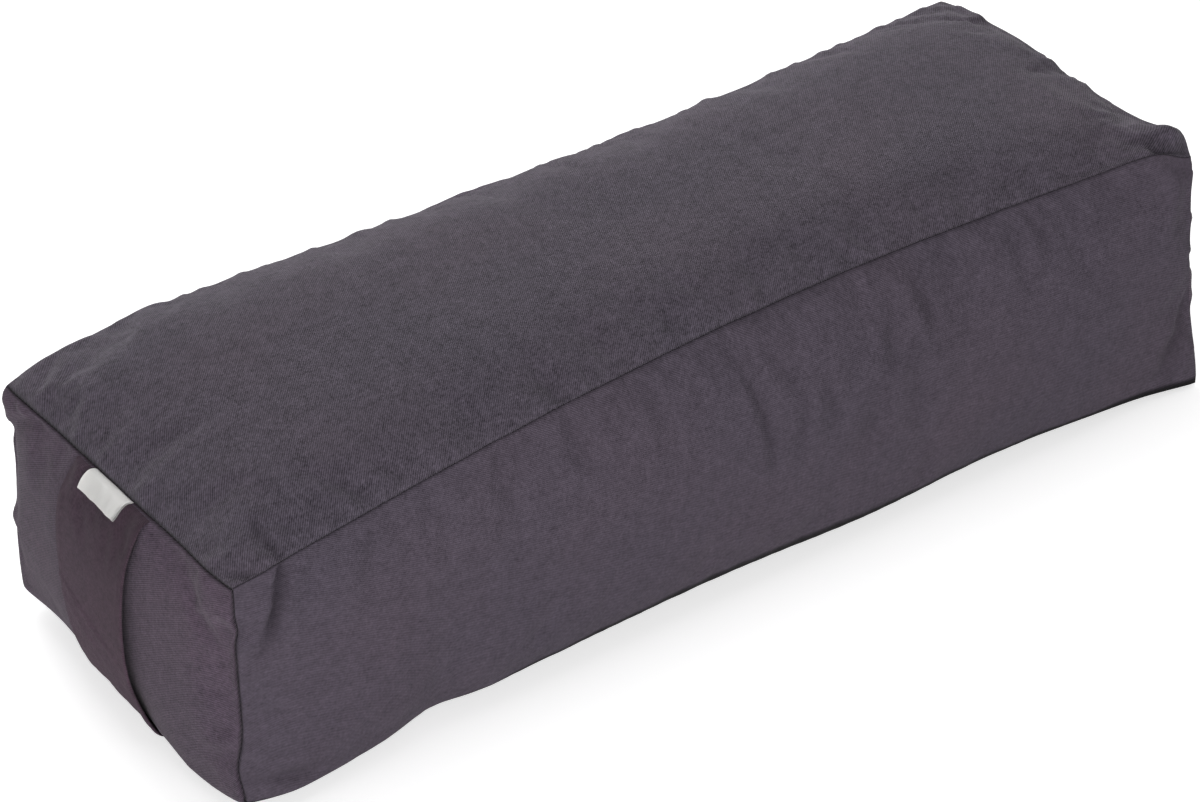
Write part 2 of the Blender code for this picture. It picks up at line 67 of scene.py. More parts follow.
def addCamera(setup):
    azimuth, elevation, roll = (math.radians(setup[name]) for name in ("azimuth", "elevation", "roll"))
    back = Vector((math.sin(azimuth) * math.cos(elevation),
                   -math.cos(azimuth) * math.cos(elevation), math.sin(elevation)))
    right = (-back).cross(Vector((0, 0, 1))).normalized()
    above = back.cross(right)
    turnedRight = right * math.cos(roll) + above * math.sin(roll)
    turnedAbove = above * math.cos(roll) - right * math.sin(roll)
    data = bpy.data.cameras.new("photoCamera")
    data.sensor_width = setup["sensor"]
    data.lens = setup["lens"]
    data.clip_end = setup["clipEnd"]
    camera = addObject("photoCamera", data)
    eye = Vector(setup["aim"]) + back * setup["distance"]
    axes = (turnedRight, turnedAbove, back)
    camera.matrix_world = Matrix([[axis[row] for axis in axes] + [eye[row]] for row in range(3)]
                                 + [[0, 0, 0, 1]])
    bpy.context.scene.camera = camera


addCamera(cameraSetup)
print("camera placed")


def link(tree, start, end):
    tree.links.new(start, end)


def addNode(tree, kind, **values):
    node = tree.nodes.new(kind)
    for name, value in values.items():
        setattr(node, name, value)
    return node


def addMath(tree, operation, first, second=None, third=None):
    node = addNode(tree, "ShaderNodeMath", operation=operation)
    for socket, value in zip(node.inputs, (first, second, third)):
        if isinstance(value, (int, float)):
            socket.default_value = value
        elif value is not None:
            link(tree, value, socket)
    return node.outputs[0]


def addWave(tree, value):
    # a sine that runs between 0 and 1
    return addMath(tree, "MULTIPLY_ADD", addMath(tree, "SINE", value), 0.5, 0.5)


def addNoise(tree, vector, scale, detail):
    noise = addNode(tree, "ShaderNodeTexNoise")
    noise.inputs["Scale"].default_value = scale
    noise.inputs["Detail"].default_value = detail
    link(tree, vector, noise.inputs["Vector"])
    return noise.outputs["Fac"]


def addBump(tree, shader, height, distance):
    bump = addNode(tree, "ShaderNodeBump")
    bump.inputs["Distance"].default_value = distance
    link(tree, height, bump.inputs["Height"])
    link(tree, bump.outputs[0], shader.inputs["Normal"])


def tintBy(tree, shader, colour, amount):
    # multiplies the colour by an amount that is 1 on average
    tint = addNode(tree, "ShaderNodeVectorMath", operation="SCALE")
    if isinstance(colour, tuple):
        tint.inputs[0].default_value = colour
    else:
        link(tree, colour, tint.inputs[0])
    link(tree, amount, tint.inputs["Scale"])
    link(tree, tint.outputs[0], shader.inputs["Base Color"])


def clothPlace(tree):
    # the place on a cloth, and its parts along and across, in metres
    cloth = addNode(tree, "ShaderNodeUVMap", uv_map="clothMap").outputs[0]
    parts = addNode(tree, "ShaderNodeSeparateXYZ")
    link(tree, cloth, parts.inputs[0])
    return cloth, parts.outputs["X"], parts.outputs["Y"]


def objectPlace(tree):
    return addNode(tree, "ShaderNodeTexCoord").outputs["Object"]


def newMaterial(name, colour, sockets):
    material = bpy.data.materials.new(name)
    material.use_nodes = True
    material.diffuse_color = (*colour, 1)
    shader = material.node_tree.nodes["Principled BSDF"]
    shader.inputs["Base Color"].default_value = (*colour, 1)
    for socket, value in sockets.items():
        shader.inputs[socket].default_value = value
    return material, material.node_tree, shader


# Studio: a white floor, an even white surround and four large soft lamps, two of them low
studioSetup = {
    "floorSize": 12.0,
    "floorDrop": 0.0004,
    "floorColour": (0.86, 0.86, 0.86),
    "floorRoughness": 0.9,
    "floorSpecular": 0.1,
    # light added where the floor is seen, so that it is white outside the shadow: close by, far off, and
    # how much it grows in a metre
    "floorGlow": (0.58, 1.0, 0.25),
    "surround": 0.25,  # strength of the light that comes from all round
    "lampSize": 1.5,
    "lampAim": (0, 0, 0.08),
    # each lamp's place and its power in watts
    "lamps": {
        "backLamp": ((0.5, 2.6, 1.0), 63.0),
        "overheadLamp": ((0.0, 0.0, 2.6), 15.0),
        "leftLamp": ((-1.6, -1.6, 0.45), 21.5),
        "frontLamp": ((-0.6, -2.2, 0.45), 16.5),
    },
}


def directView(tree):
    path = addNode(tree, "ShaderNodeLightPath")
    seen = addMath(tree, "MAXIMUM", path.outputs["Is Camera Ray"], path.outputs["Is Glossy Ray"])
    return addMath(tree, "MAXIMUM", seen, path.outputs["Is Transmission Ray"])


def addSurround(setup):
    world = bpy.data.worlds.new("studioWorld")
    bpy.context.scene.world = world
    world.use_nodes = True
    tree = world.node_tree
    tree.nodes.clear()
    mix = addNode(tree, "ShaderNodeMixShader")
    link(tree, directView(tree), mix.inputs[0])
    for index, strength in ((1, setup["surround"]), (2, 1.0)):
        background = addNode(tree, "ShaderNodeBackground")
        background.inputs["Color"].default_value = (1, 1, 1, 1)
        background.inputs["Strength"].default_value = strength
        link(tree, background.outputs[0], mix.inputs[index])
    output = addNode(tree, "ShaderNodeOutputWorld")
    link(tree, mix.outputs[0], output.inputs["Surface"])


def addFloor(setup):
    half = setup["floorSize"] / 2
    corners = ((-half, -half), (half, -half), (half, half), (-half, half))
    mesh = bpy.data.meshes.new("floor")
    mesh.from_pydata([(x, y, -setup["floorDrop"]) for x, y in corners], [], [(0, 1, 2, 3)])
    floor = addObject("floor", mesh)
    material, tree, shader = newMaterial("floorPaper", setup["floorColour"], {
        "Roughness": setup["floorRoughness"], "Specular IOR Level": setup["floorSpecular"],
        "Emission Color": (1, 1, 1, 1)})
    near, far, growth = setup["floorGlow"]
    distance = addNode(tree, "ShaderNodeVectorMath", operation="LENGTH")
    link(tree, objectPlace(tree), distance.inputs[0])
    glow = addMath(tree, "MULTIPLY_ADD", distance.outputs["Value"], growth, near - growth)
    glow = addMath(tree, "MINIMUM", addMath(tree, "MAXIMUM", glow, near), far)
    link(tree, addMath(tree, "MULTIPLY", directView(tree), glow), shader.inputs["Emission Strength"])
    mesh.materials.append(material)


def addLamps(setup):
    for name, (place, power) in setup["lamps"].items():
        data = bpy.data.lights.new(name, "AREA")
        data.energy = power
        data.size = setup["lampSize"]
        lamp = addObject(name, data)
        lamp.location = place
        towards = Vector(setup["lampAim"]) - lamp.location
        lamp.rotation_euler = towards.to_track_quat("-Z", "Y").to_euler()


bpy.context.scene.view_settings.view_transform = "Standard"
addSurround(studioSetup)
addFloor(studioSetup)
addLamps(studioSetup)
print("studio lit")

# Finishes of the cloths: the threads' spacing and the ribs' depth are in metres
clothLooks = {
    "coverTwill": {"colour": (0.0850, 0.0710, 0.0925), "warp": 0.00052, "weft": 0.00058, "ribs": 0.00020,
                   "slant": 1, "grain": 1.0, "roughness": 0.95, "sheen": 0.12},
    "frontTwill": {"colour": (0.0888, 0.0728, 0.0955), "warp": 0.00060, "weft": 0.00036, "ribs": 0.00018,
                   "slant": -1, "grain": 0.58, "roughness": 0.95, "sheen": 0.03},
    "endTwill": {"colour": (0.0930, 0.0680, 0.0950), "warp": 0.00066, "weft": 0.00040, "ribs": 0.00020,
                 "slant": -1, "grain": 0.75, "roughness": 0.95, "sheen": 0.12},
    "strapTwill": {"colour": (0.0900, 0.0585, 0.0805), "warp": 0.00052, "weft": 0.00036, "ribs": 0.00014,
                   "slant": 1, "grain": 0.60, "roughness": 0.95, "sheen": 0.05},
    "bagCotton": {"colour": (0.66, 0.60, 0.48), "warp": 0.00045, "weft": 0.00045, "ribs": 0.00008,
                  "slant": 1, "grain": 0.3, "roughness": 0.9, "sheen": 0.05},
}

# What makes up the grain of a cloth: how much each part changes its colour, and the parts' sizes
clothGrain = {
    "weave": {"mean": 0.437, "strength": 0.86},
    "fibres": {"mean": 0.5, "strength": 0.50, "scale": 2600, "detail": 2},
    "mottle": {"mean": 0.5, "strength": 1.25, "scale": 620, "detail": 1},
    "slubs": {"mean": 0.5, "strength": 0.95, "scale": 240, "detail": 2},
    "clouds": {"mean": 0.5, "strength": 0.60, "scale": 85, "detail": 2},
    "patches": {"mean": 0.5, "strength": 0.24, "scale": 10, "detail": 4},
}
# What all the cloths share
clothForm = {
    "specular": 0.10, "sheenRoughness": 0.5,
    "wobble": 2.2, "wobbleScale": 90, "wobbleDetail": 3,  # how the ribs waver
    "yarnDip": 0.35, "fibreHeight": 0.5, "mottleHeight": 0.6,
    "leastShade": 0.25,  # no thread is darker than this share of the cloth's colour
    "stitchPitch": 0.0033, "leastStitch": 0.45,  # how the shade beside a seam comes and goes
    "patchTint": (0.006, -0.002, -0.005),  # how far the patches turn the colour, from redder to bluer
}


def makeTwill(name, look):
    form = clothForm
    material, tree, shader = newMaterial(name, look["colour"], {
        "Roughness": look["roughness"], "Specular IOR Level": form["specular"],
        "Sheen Weight": look["sheen"], "Sheen Roughness": form["sheenRoughness"]})
    cloth, run, rise = clothPlace(tree)
    # each float passes over two yarns and under one, one yarn further along in each row
    wobble = addMath(tree, "MULTIPLY", addNoise(tree, cloth, form["wobbleScale"], form["wobbleDetail"]),
                     form["wobble"])
    across = addMath(tree, "MULTIPLY", run, 2 * math.pi / (3 * look["warp"]))
    slant = addMath(tree, "MULTIPLY_ADD", rise, -look["slant"] * 2 * math.pi / (3 * look["weft"]), across)
    rib = addWave(tree, addMath(tree, "ADD", slant, wobble))
    yarn = addMath(tree, "SINE", addMath(tree, "MULTIPLY", run, math.pi / look["warp"]))
    yarn = addMath(tree, "ABSOLUTE", yarn)
    yarn = addMath(tree, "MULTIPLY_ADD", yarn, form["yarnDip"], 1 - form["yarnDip"])
    values = {"weave": addMath(tree, "MULTIPLY", rib, yarn)}
    amount = 1 - look["grain"] * sum(part["mean"] * part["strength"] for part in clothGrain.values())
    for part, grain in clothGrain.items():
        if part not in values:
            values[part] = addNoise(tree, cloth, grain["scale"], grain["detail"])
        amount = addMath(tree, "MULTIPLY_ADD", values[part], grain["strength"] * look["grain"], amount)
    amount = addMath(tree, "MAXIMUM", amount, form["leastShade"])
    height = addMath(tree, "MULTIPLY_ADD", values["fibres"], form["fibreHeight"], values["weave"])
    height = addMath(tree, "MULTIPLY_ADD", values["mottle"], form["mottleHeight"], height)
    addBump(tree, shader, height, look["ribs"])

    # the shade beside a seam comes and goes with its stitches, the one in a fold doesn't
    seam = addNode(tree, "ShaderNodeAttribute", attribute_name="seamShade").outputs["Fac"]
    turns = addMath(tree, "MULTIPLY", addMath(tree, "ADD", run, rise), 2 * math.pi / form["stitchPitch"])
    swing = (1 - form["leastStitch"]) / 2
    stitch = addMath(tree, "MULTIPLY_ADD", addMath(tree, "SINE", turns), swing, 1 - swing)
    shaded = addMath(tree, "MULTIPLY", addMath(tree, "SUBTRACT", 1.0, seam), stitch)
    amount = addMath(tree, "MULTIPLY", amount, addMath(tree, "SUBTRACT", 1.0, shaded))
    fold = addNode(tree, "ShaderNodeAttribute", attribute_name="foldShade").outputs["Fac"]
    amount = addMath(tree, "MULTIPLY", amount, fold)
    tint = addNode(tree, "ShaderNodeVectorMath", operation="MULTIPLY_ADD")
    link(tree, values["patches"], tint.inputs[0])
    tint.inputs[1].default_value = form["patchTint"]
    tint.inputs[2].default_value = [value - turn / 2
                                    for value, turn in zip(look["colour"], form["patchTint"])]
    tintBy(tree, shader, tint.outputs[0], amount)
    return material


materials = {name: makeTwill(name, look) for name, look in clothLooks.items()}
print("cloth finishes made")

# The cushion's form, in metres, before its origin is moved to the frame's
cushion = {
    "length": 0.650, "width": 0.2265, "height": 0.149, "farEndRise": 0.009,
    "topCrown": 0.018, "topCrownLean": 0.09, "sideCrown": 0.0113, "endCrown": 0.0113,
    "frontTopDraw": 0.0206, "frontTopLean": 0.87, "backTopDraw": 0.0184, "bottomDraw": 0.0105,
    "cornerSeamDraw": 0.0006, "farEndLean": 0.0035, "topCornerRounding": 0.0024,
    "frontHump": 0.0115, "frontHumpLean": -0.84, "backHump": 0.0098, "backHumpLean": -1.24,
    "frontEarRise": 0.0145, "backCornerDrop": 0.0040,
    "lift": 0.0055, "handleFrontLift": 0.0070, "handleBackLift": 0.0035, "farFrontDrop": 0.0050,
    "floorCut": 0.0005,
    # at the foot: the size, the share of its place and the share of its half width
    "frontSwell": (0.0055, -0.85, 0.12), "frontHollow": (0.0055, -0.62, 0.06),
    "endSwell": (0.0022, -0.65, 0.35), "endHollow": (0.0046, 0.65, 0.35),
    # powers of the curves: a higher one keeps a face level for longer
    "endPower": 3, "crownWidthPower": 4, "crownLengthPower": 12, "frontHumpPower": 2.4, "backHumpPower": 6,
    "seamPower": 2, "edgePower": 4, "earPower": 8, "earWidthPower": 3, "floorLengthPower": 8,
    "floorWidthPower": 5,
    "zipLength": 0.440, "windowMargin": 0.003, "tapeTail": 0.012, "windowWidth": 0.010,
    "tapeInner": 0.0029, "tapeOuter": 0.0145, "tapeDepth": 0.0011,
}
halfLength = cushion["length"] / 2
halfWidth = cushion["width"] / 2
halfHeight = cushion["height"] / 2
zipHeight = (cushion["height"] + cushion["lift"]) / 2
windowEnd = (cushion["zipLength"] / 2 + cushion["windowMargin"]) / halfLength
levelEnd = (cushion["zipLength"] / 2 + cushion["windowMargin"] + cushion["tapeTail"]) / halfLength


def riseOf(share, power):
    return 1 - np.abs(share) ** power


def ease(share):
    # runs from 0 to 1, level at both ends
    return share ** 2 * (3 - 2 * share)


def swellAt(values, share):
    size, middle, halfShare = values
    return size * np.exp(-((share - middle) / halfShare) ** 2)


def topSeam(along, across):
    # the height of the top seams, from the front one to the back one
    front = cushion["frontHump"] * riseOf(along, cushion["frontHumpPower"])
    front = front * (1 + cushion["frontHumpLean"] * along)
    back = cushion["backHump"] * riseOf(along, cushion["backHumpPower"])
    back = back * (1 + cushion["backHumpLean"] * along)
    between = front + (back - front) * ease((1 + across) / 2)
    return cushion["height"] + cushion["farEndRise"] * (1 + along) / 2 + between


def upperSkin(along, across):
    crown = cushion["topCrown"] * (1 + cushion["topCrownLean"] * along)
    crown = crown * riseOf(along, cushion["crownLengthPower"]) * riseOf(across, cushion["crownWidthPower"])
    ear = ((1 + along) / 2) ** cushion["earPower"] * np.maximum(0, -across) ** cushion["earWidthPower"]
    drop = along ** cushion["earPower"] * np.maximum(0, across) ** cushion["edgePower"]
    return topSeam(along, across) + crown + cushion["frontEarRise"] * ear - cushion["backCornerDrop"] * drop


def lowerSkin(along, across):
    flat = riseOf(along, cushion["floorLengthPower"]) * riseOf(across, cushion["floorWidthPower"])
    nearFoot = np.where(across < 0, cushion["handleFrontLift"], cushion["handleBackLift"])
    farFoot = np.where(across < 0, -cushion["farFrontDrop"], 0.0)
    foot = np.where(along < 0, nearFoot, farFoot) * (along * across) ** cushion["earPower"]
    return np.maximum(0, cushion["lift"] * (1 - flat) + foot - cushion["floorCut"])


def formPoints(along, across, up, depth=0.0, backDepth=None):
    # along, across and up run from -1 to 1: handle end to far end, front to back, bottom to top
    along, across, up = np.broadcast_arrays(along, across, up)
    sideDepth = depth if backDepth is None else np.where(across <= 0, depth, backDepth)
    upper = (up + 1) / 2
    foot = (1 - upper) ** 2
    rounding = cushion["topCornerRounding"] * (along * across) ** cushion["earPower"]
    rounding = rounding * upper ** cushion["edgePower"]
    seamDraw = cushion["cornerSeamDraw"] * riseOf(up, cushion["seamPower"])
    endCrown = cushion["endCrown"] * riseOf(across, cushion["endPower"]) * riseOf(up, cushion["endPower"])
    x = halfLength - depth + endCrown - seamDraw * across ** cushion["earPower"] - rounding
    endFoot = foot * (swellAt(cushion["endSwell"], across) - swellAt(cushion["endHollow"], across))
    x = x + np.where(along < 0, endFoot, -cushion["farEndLean"] * up)
    past = np.maximum(0, (np.abs(along) - levelEnd) / (1 - levelEnd))
    y = halfWidth - sideDepth + cushion["sideCrown"] * (1 - past ** 2) * riseOf(up, cushion["seamPower"])
    frontDraw = cushion["frontTopDraw"] * (1 + cushion["frontTopLean"] * along)
    topDraw = np.where(across < 0, frontDraw, cushion["backTopDraw"])
    draw = topDraw * upper + cushion["bottomDraw"] * (1 - upper)
    y = y - draw * riseOf(along, cushion["seamPower"]) * up ** cushion["edgePower"]
    y = y - seamDraw * along ** cushion["earPower"] - rounding
    frontFoot = foot * (swellAt(cushion["frontSwell"], along) - swellAt(cushion["frontHollow"], along))
    y = y + np.where(across < 0, frontFoot, 0.0)
    low = lowerSkin(along, across) + depth
    high = upperSkin(along, across) - depth
    return np.stack([along * x, across * y, low + upper * (high - low)], axis=-1)


def upShareAt(height, along, across=1.0):
    low = lowerSkin(along, across)
    high = upperSkin(along, across)
    return 2 * (height - low) / (high - low) - 1


def findShift():
    # the zip's upper tape tells where the frame has put the form
    low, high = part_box("zip_tape_upper")
    along, height = np.meshgrid([-levelEnd, 0.0, levelEnd], [cushion["tapeInner"], cushion["tapeOuter"]])
    tape = formPoints(along, 1.0, upShareAt(zipHeight + height, along), cushion["tapeDepth"])
    middle = (tape[..., 0].min() + tape[..., 0].max()) / 2
    return np.array([(low.x + high.x) / 2 - middle, high.y - tape[..., 1].max(), 0.0])


shift = findShift()
print("form moved by %.2f and %.2f mm" % tuple(shift[:2] * 1000))


def skinPoints(along, across, up, depth=0.0, backDepth=None):
    return formPoints(along, across, up, depth, backDepth) + shift


# The six faces: the two shares that run over each, and its outward direction
faces = {
    "top": {"shares": ("along", "across"), "side": 1.0},
    "bottom": {"shares": ("along", "across"), "side": -1.0},
    "front": {"shares": ("along", "up"), "side": -1.0},
    "back": {"shares": ("along", "up"), "side": 1.0},
    "handleEnd": {"shares": ("across", "up"), "side": -1.0},
    "farEnd": {"shares": ("across", "up"), "side": 1.0},
}
axisOf = {"along": 0, "across": 1, "up": 2}
halfOf = {"along": halfLength, "across": halfWidth, "up": halfHeight}


def allShares(face, first, second):
    named = dict(zip(faces[face]["shares"], (first, second)))
    return [named.get(way, faces[face]["side"]) for way in axisOf]


def missingWay(face):
    return [way for way in axisOf if way not in faces[face]["shares"]][0]


def halvesOf(face):
    return [halfOf[way] for way in faces[face]["shares"]]


def normalOf(face):
    normal = np.zeros(3)
    normal[axisOf[missingWay(face)]] = faces[face]["side"]
    return normal


def gridOf(first, second):
    return np.meshgrid(first, second, indexing="ij")


def quadsOf(number, flip=False):
    # the four-sided cells between the numbered points of a grid
    corners = (number[:-1, :-1], number[1:, :-1], number[1:, 1:], number[:-1, 1:])
    cells = np.stack(corners, axis=-1).reshape(-1, 4)
    return cells[:, ::-1] if flip else cells


def gridCells(rows, columns, flip=False):
    return quadsOf(np.arange(rows * columns).reshape(rows, columns), flip)


def isFlipped(face):
    # whether the cells of a face's grid have to be turned over to look outwards
    rightHanded = faces[face]["shares"] != ("along", "up")
    return rightHanded != (faces[face]["side"] > 0)


# Lumps and hollows that the photograph shows at the corners: the middle in shares, and the push and the
# reach in metres
lumps = [
    ((1.0, -1.0, 1.0), (0.0000, 0.0010, -0.0145), (0.019, 0.012, 0.018)),
    ((0.958, -0.85, 1.0), (0.0035, -0.0040, 0.0066), (0.014, 0.012, 0.009)),
    ((1.0, 0.36, 1.0), (0.0008, 0.0000, 0.0048), (0.024, 0.034, 0.025)),
    ((-1.0, 1.0, 0.88), (-0.0032, 0.0005, 0.0035), (0.014, 0.012, 0.010)),
    ((-1.0, 1.0, 0.60), (0.0020, 0.0000, 0.0000), (0.010, 0.008, 0.005)),
    ((-1.0, 1.0, -0.55), (-0.0030, 0.0000, 0.0000), (0.020, 0.014, 0.032)),
    ((-1.0, 0.50, -1.0), (-0.0008, 0.0000, 0.0000), (0.018, 0.024, 0.025)),
    ((-1.0, -0.60, -1.0), (-0.0028, 0.0000, 0.0000), (0.018, 0.028, 0.022)),
    ((-0.93, -1.0, -1.0), (0.0000, -0.0028, 0.0000), (0.022, 0.020, 0.018)),
    ((-1.0, -1.0, -0.70), (-0.0020, 0.0020, 0.0000), (0.016, 0.016, 0.014)),
    ((-1.0, -1.0, 0.60), (0.0012, -0.0010, 0.0000), (0.010, 0.010, 0.006)),
    ((0.27, -1.0, -1.0), (0.0000, -0.0050, 0.0000), (0.065, 0.020, 0.022)),
    ((0.85, -1.0, -1.0), (0.0000, -0.0032, 0.0000), (0.060, 0.020, 0.022)),
    ((1.0, -1.0, -0.85), (0.0015, -0.0040, 0.0000), (0.025, 0.020, 0.040)),
]


def lumpsAt(along, across, up):
    total = np.zeros(np.broadcast(along, across, up).shape + (3,))
    for middles, push, reaches in lumps:
        apart = 0
        for share, middle, half, reach in zip((along, across, up), middles, halfOf.values(), reaches):
            apart = apart + ((share - middle) * half / reach) ** 2
        total = total + np.exp(-apart)[..., None] * push
    return total


# Simulated cover: the sewn seams are drawn a little shorter than the cloth, which puckers beside them
coverSimulation = {
    "cell": 0.005, "frames": 25, "quality": 5, "mass": 0.05,
    "pressure": 6.0, "stretch": 40, "shear": 15, "bending": 0.6,
    "clothEase": -0.012, "seamDraw": 0.012,
    # how firmly the cloth is held, and the band round the zip, in metres and past the zip's share
    "holdPanel": 0.08, "holdSeam": 0.35, "holdFloor": 0.9, "holdZip": 1.0, "zipBand": 0.016, "zipReach": 0.03,
    "smoothings": 260, "cap": 0.005, "puckers": 1.05,
    "fullWithin": 0.018, "fadedBeyond": 0.055, "faded": 0.22,  # how the puckers fade away from a seam
    "seamReach": 0.030, "floorReach": 0.028, "floorFade": 0.75,
}


def coverPoints(setup):
    # numbers the points of the six grids, which share those on the seams
    counts = [int(round(2 * half / setup["cell"])) for half in halfOf.values()]
    numbers = {}
    grids = {}
    cells = []
    for face in faces:
        ways = [axisOf[way] for way in faces[face]["shares"]]
        missing = axisOf[missingWay(face)]
        grid = np.zeros([counts[way] + 1 for way in ways], int)
        for place in np.ndindex(grid.shape):
            key = [0, 0, 0]
            key[ways[0]], key[ways[1]] = place
            key[missing] = counts[missing] if faces[face]["side"] > 0 else 0
            grid[place] = numbers.setdefault(tuple(key), len(numbers))
        grids[face] = grid
        cells += quadsOf(grid, isFlipped(face)).tolist()
    return counts, np.array(list(numbers)), grids, cells


def settle(start, cells, hold, seam, setup):
    # lets the cover settle as cloth: gives how far each point moved, and the pairs of points that are joined
    mesh = bpy.data.meshes.new("coverForm")
    mesh.from_pydata(start.tolist(), [], cells)
    form = addObject("coverForm", mesh)
    for name, weights in (("hold", hold), ("seam", seam)):
        group = form.vertex_groups.new(name=name)
        for value in np.unique(weights):
            group.add(np.nonzero(weights == value)[0].tolist(), float(value), "REPLACE")
    modifier = form.modifiers.new("cloth", "CLOTH")
    cloth = modifier.settings
    cloth.quality = setup["quality"]
    cloth.mass = setup["mass"]
    cloth.tension_stiffness = cloth.compression_stiffness = setup["stretch"]
    cloth.shear_stiffness = setup["shear"]
    cloth.bending_stiffness = setup["bending"]
    cloth.use_pressure = True
    cloth.uniform_pressure_force = setup["pressure"]
    cloth.vertex_group_mass = "hold"
    cloth.vertex_group_shrink = "seam"
    cloth.shrink_min = setup["clothEase"]
    cloth.shrink_max = setup["seamDraw"]
    cloth.effector_weights.gravity = 0
    modifier.collision_settings.use_collision = False
    modifier.point_cache.frame_end = setup["frames"]
    for step in range(1, setup["frames"] + 1):
        bpy.context.scene.frame_set(step)
    settled = form.evaluated_get(bpy.context.evaluated_depsgraph_get()).data
    points = np.zeros(start.size)
    settled.vertices.foreach_get("co", points)
    bpy.data.objects.remove(form)
    bpy.context.scene.frame_set(1)
    return points.reshape(-1, 3) - start, np.array([edge.vertices[:] for edge in mesh.edges])


def broadPart(change, pairs, times):
    # the change with its puckers smoothed away
    count = len(change)
    joined = np.bincount(pairs.ravel(), minlength=count)[:, None]
    for _ in range(times):
        total = np.zeros_like(change)
        for way in range(3):
            for here, there in (pairs.T, pairs.T[::-1]):
                total[:, way] += np.bincount(here, change[there, way], count)
        change = (change + total / joined) / 2
    return change


def simulateCover(setup):
    counts, keys, grids, cells = coverPoints(setup)
    shares = [np.linspace(-1, 1, count + 1)[keys[:, way]] for way, count in enumerate(counts)]
    start = skinPoints(*shares)

    atEdge = sum(np.abs(share) == 1 for share in shares) >= 2
    hold = np.full(len(keys), setup["holdPanel"])
    hold[atEdge] = setup["holdSeam"]
    hold[shares[2] == -1] = setup["holdFloor"]
    nearZip = (shares[1] == 1) & (np.abs(start[:, 2] - zipHeight) < setup["zipBand"])
    hold[nearZip & (np.abs(shares[0]) < levelEnd + setup["zipReach"])] = setup["holdZip"]
    change, pairs = settle(start, cells, hold, atEdge.astype(float), setup)

    # only the puckers stay, strong beside the seams and faint elsewhere and at the floor
    change = (change - broadPart(change, pairs, setup["smoothings"])) * setup["puckers"]
    size = np.linalg.norm(change, axis=1, keepdims=True)
    change *= np.tanh(size / setup["cap"]) * setup["cap"] / np.maximum(size, 1e-9)
    halves = list(halfOf.values())
    fromSeam = np.sort([(1 - np.abs(share)) * half for share, half in zip(shares, halves)], axis=0)[1]
    past = np.clip((fromSeam - setup["fullWithin"]) / (setup["fadedBeyond"] - setup["fullWithin"]), 0, 1)
    change *= (1 - (1 - setup["faded"]) * ease(past))[:, None]
    fromFloor = (1 + shares[2]) * halfHeight
    change *= (1 - setup["floorFade"] * np.exp(-(fromFloor / setup["floorReach"]) ** 2))[:, None]

    # each seam is put back on its line, with the cloth beside it
    for ways in ((0, 1), (0, 2), (1, 2)):
        for sides in ((-1, -1), (-1, 1), (1, -1), (1, 1)):
            apart = [(1 - side * shares[way]) * halves[way] for way, side in zip(ways, sides)]
            squares = apart[0] ** 2 + apart[1] ** 2
            drift = np.zeros(3)
            drift[list(ways)] = np.median(change[squares == 0], axis=0)[list(ways)]
            change = change - np.exp(-squares / setup["seamReach"] ** 2)[:, None] * drift
    print("puckers: mean %.2f mm, most %.2f mm" % (size.mean() * 1000, size.max() * 1000))
    return grids, change


coverGrids, coverChange = simulateCover(coverSimulation)
print("cover simulated")


def cubicWeights(part):
    # the weights of the four points round a place, for a smooth curve through them
    return (-0.5 * part + part ** 2 - 0.5 * part ** 3, 1 - 2.5 * part ** 2 + 1.5 * part ** 3,
            0.5 * part + 2 * part ** 2 - 1.5 * part ** 3, -0.5 * part ** 2 + 0.5 * part ** 3)


def puckersAt(face, first, second):
    # reads the simulated change between the points of its grid
    grid = coverChange[coverGrids[face]]
    rows, columns = grid.shape[:2]
    row = np.clip((first + 1) / 2 * (rows - 1), 0, rows - 1 - 1e-9)
    column = np.clip((second + 1) / 2 * (columns - 1), 0, columns - 1 - 1e-9)
    rowStart = np.floor(row).astype(int)
    columnStart = np.floor(column).astype(int)
    rowWeights = cubicWeights(row - rowStart)
    columnWeights = cubicWeights(column - columnStart)
    total = 0
    for i in range(4):
        near = np.clip(rowStart + i - 1, 0, rows - 1)
        for j in range(4):
            beside = np.clip(columnStart + j - 1, 0, columns - 1)
            total = total + grid[near, beside] * (rowWeights[i] * columnWeights[j])[..., None]
    return total


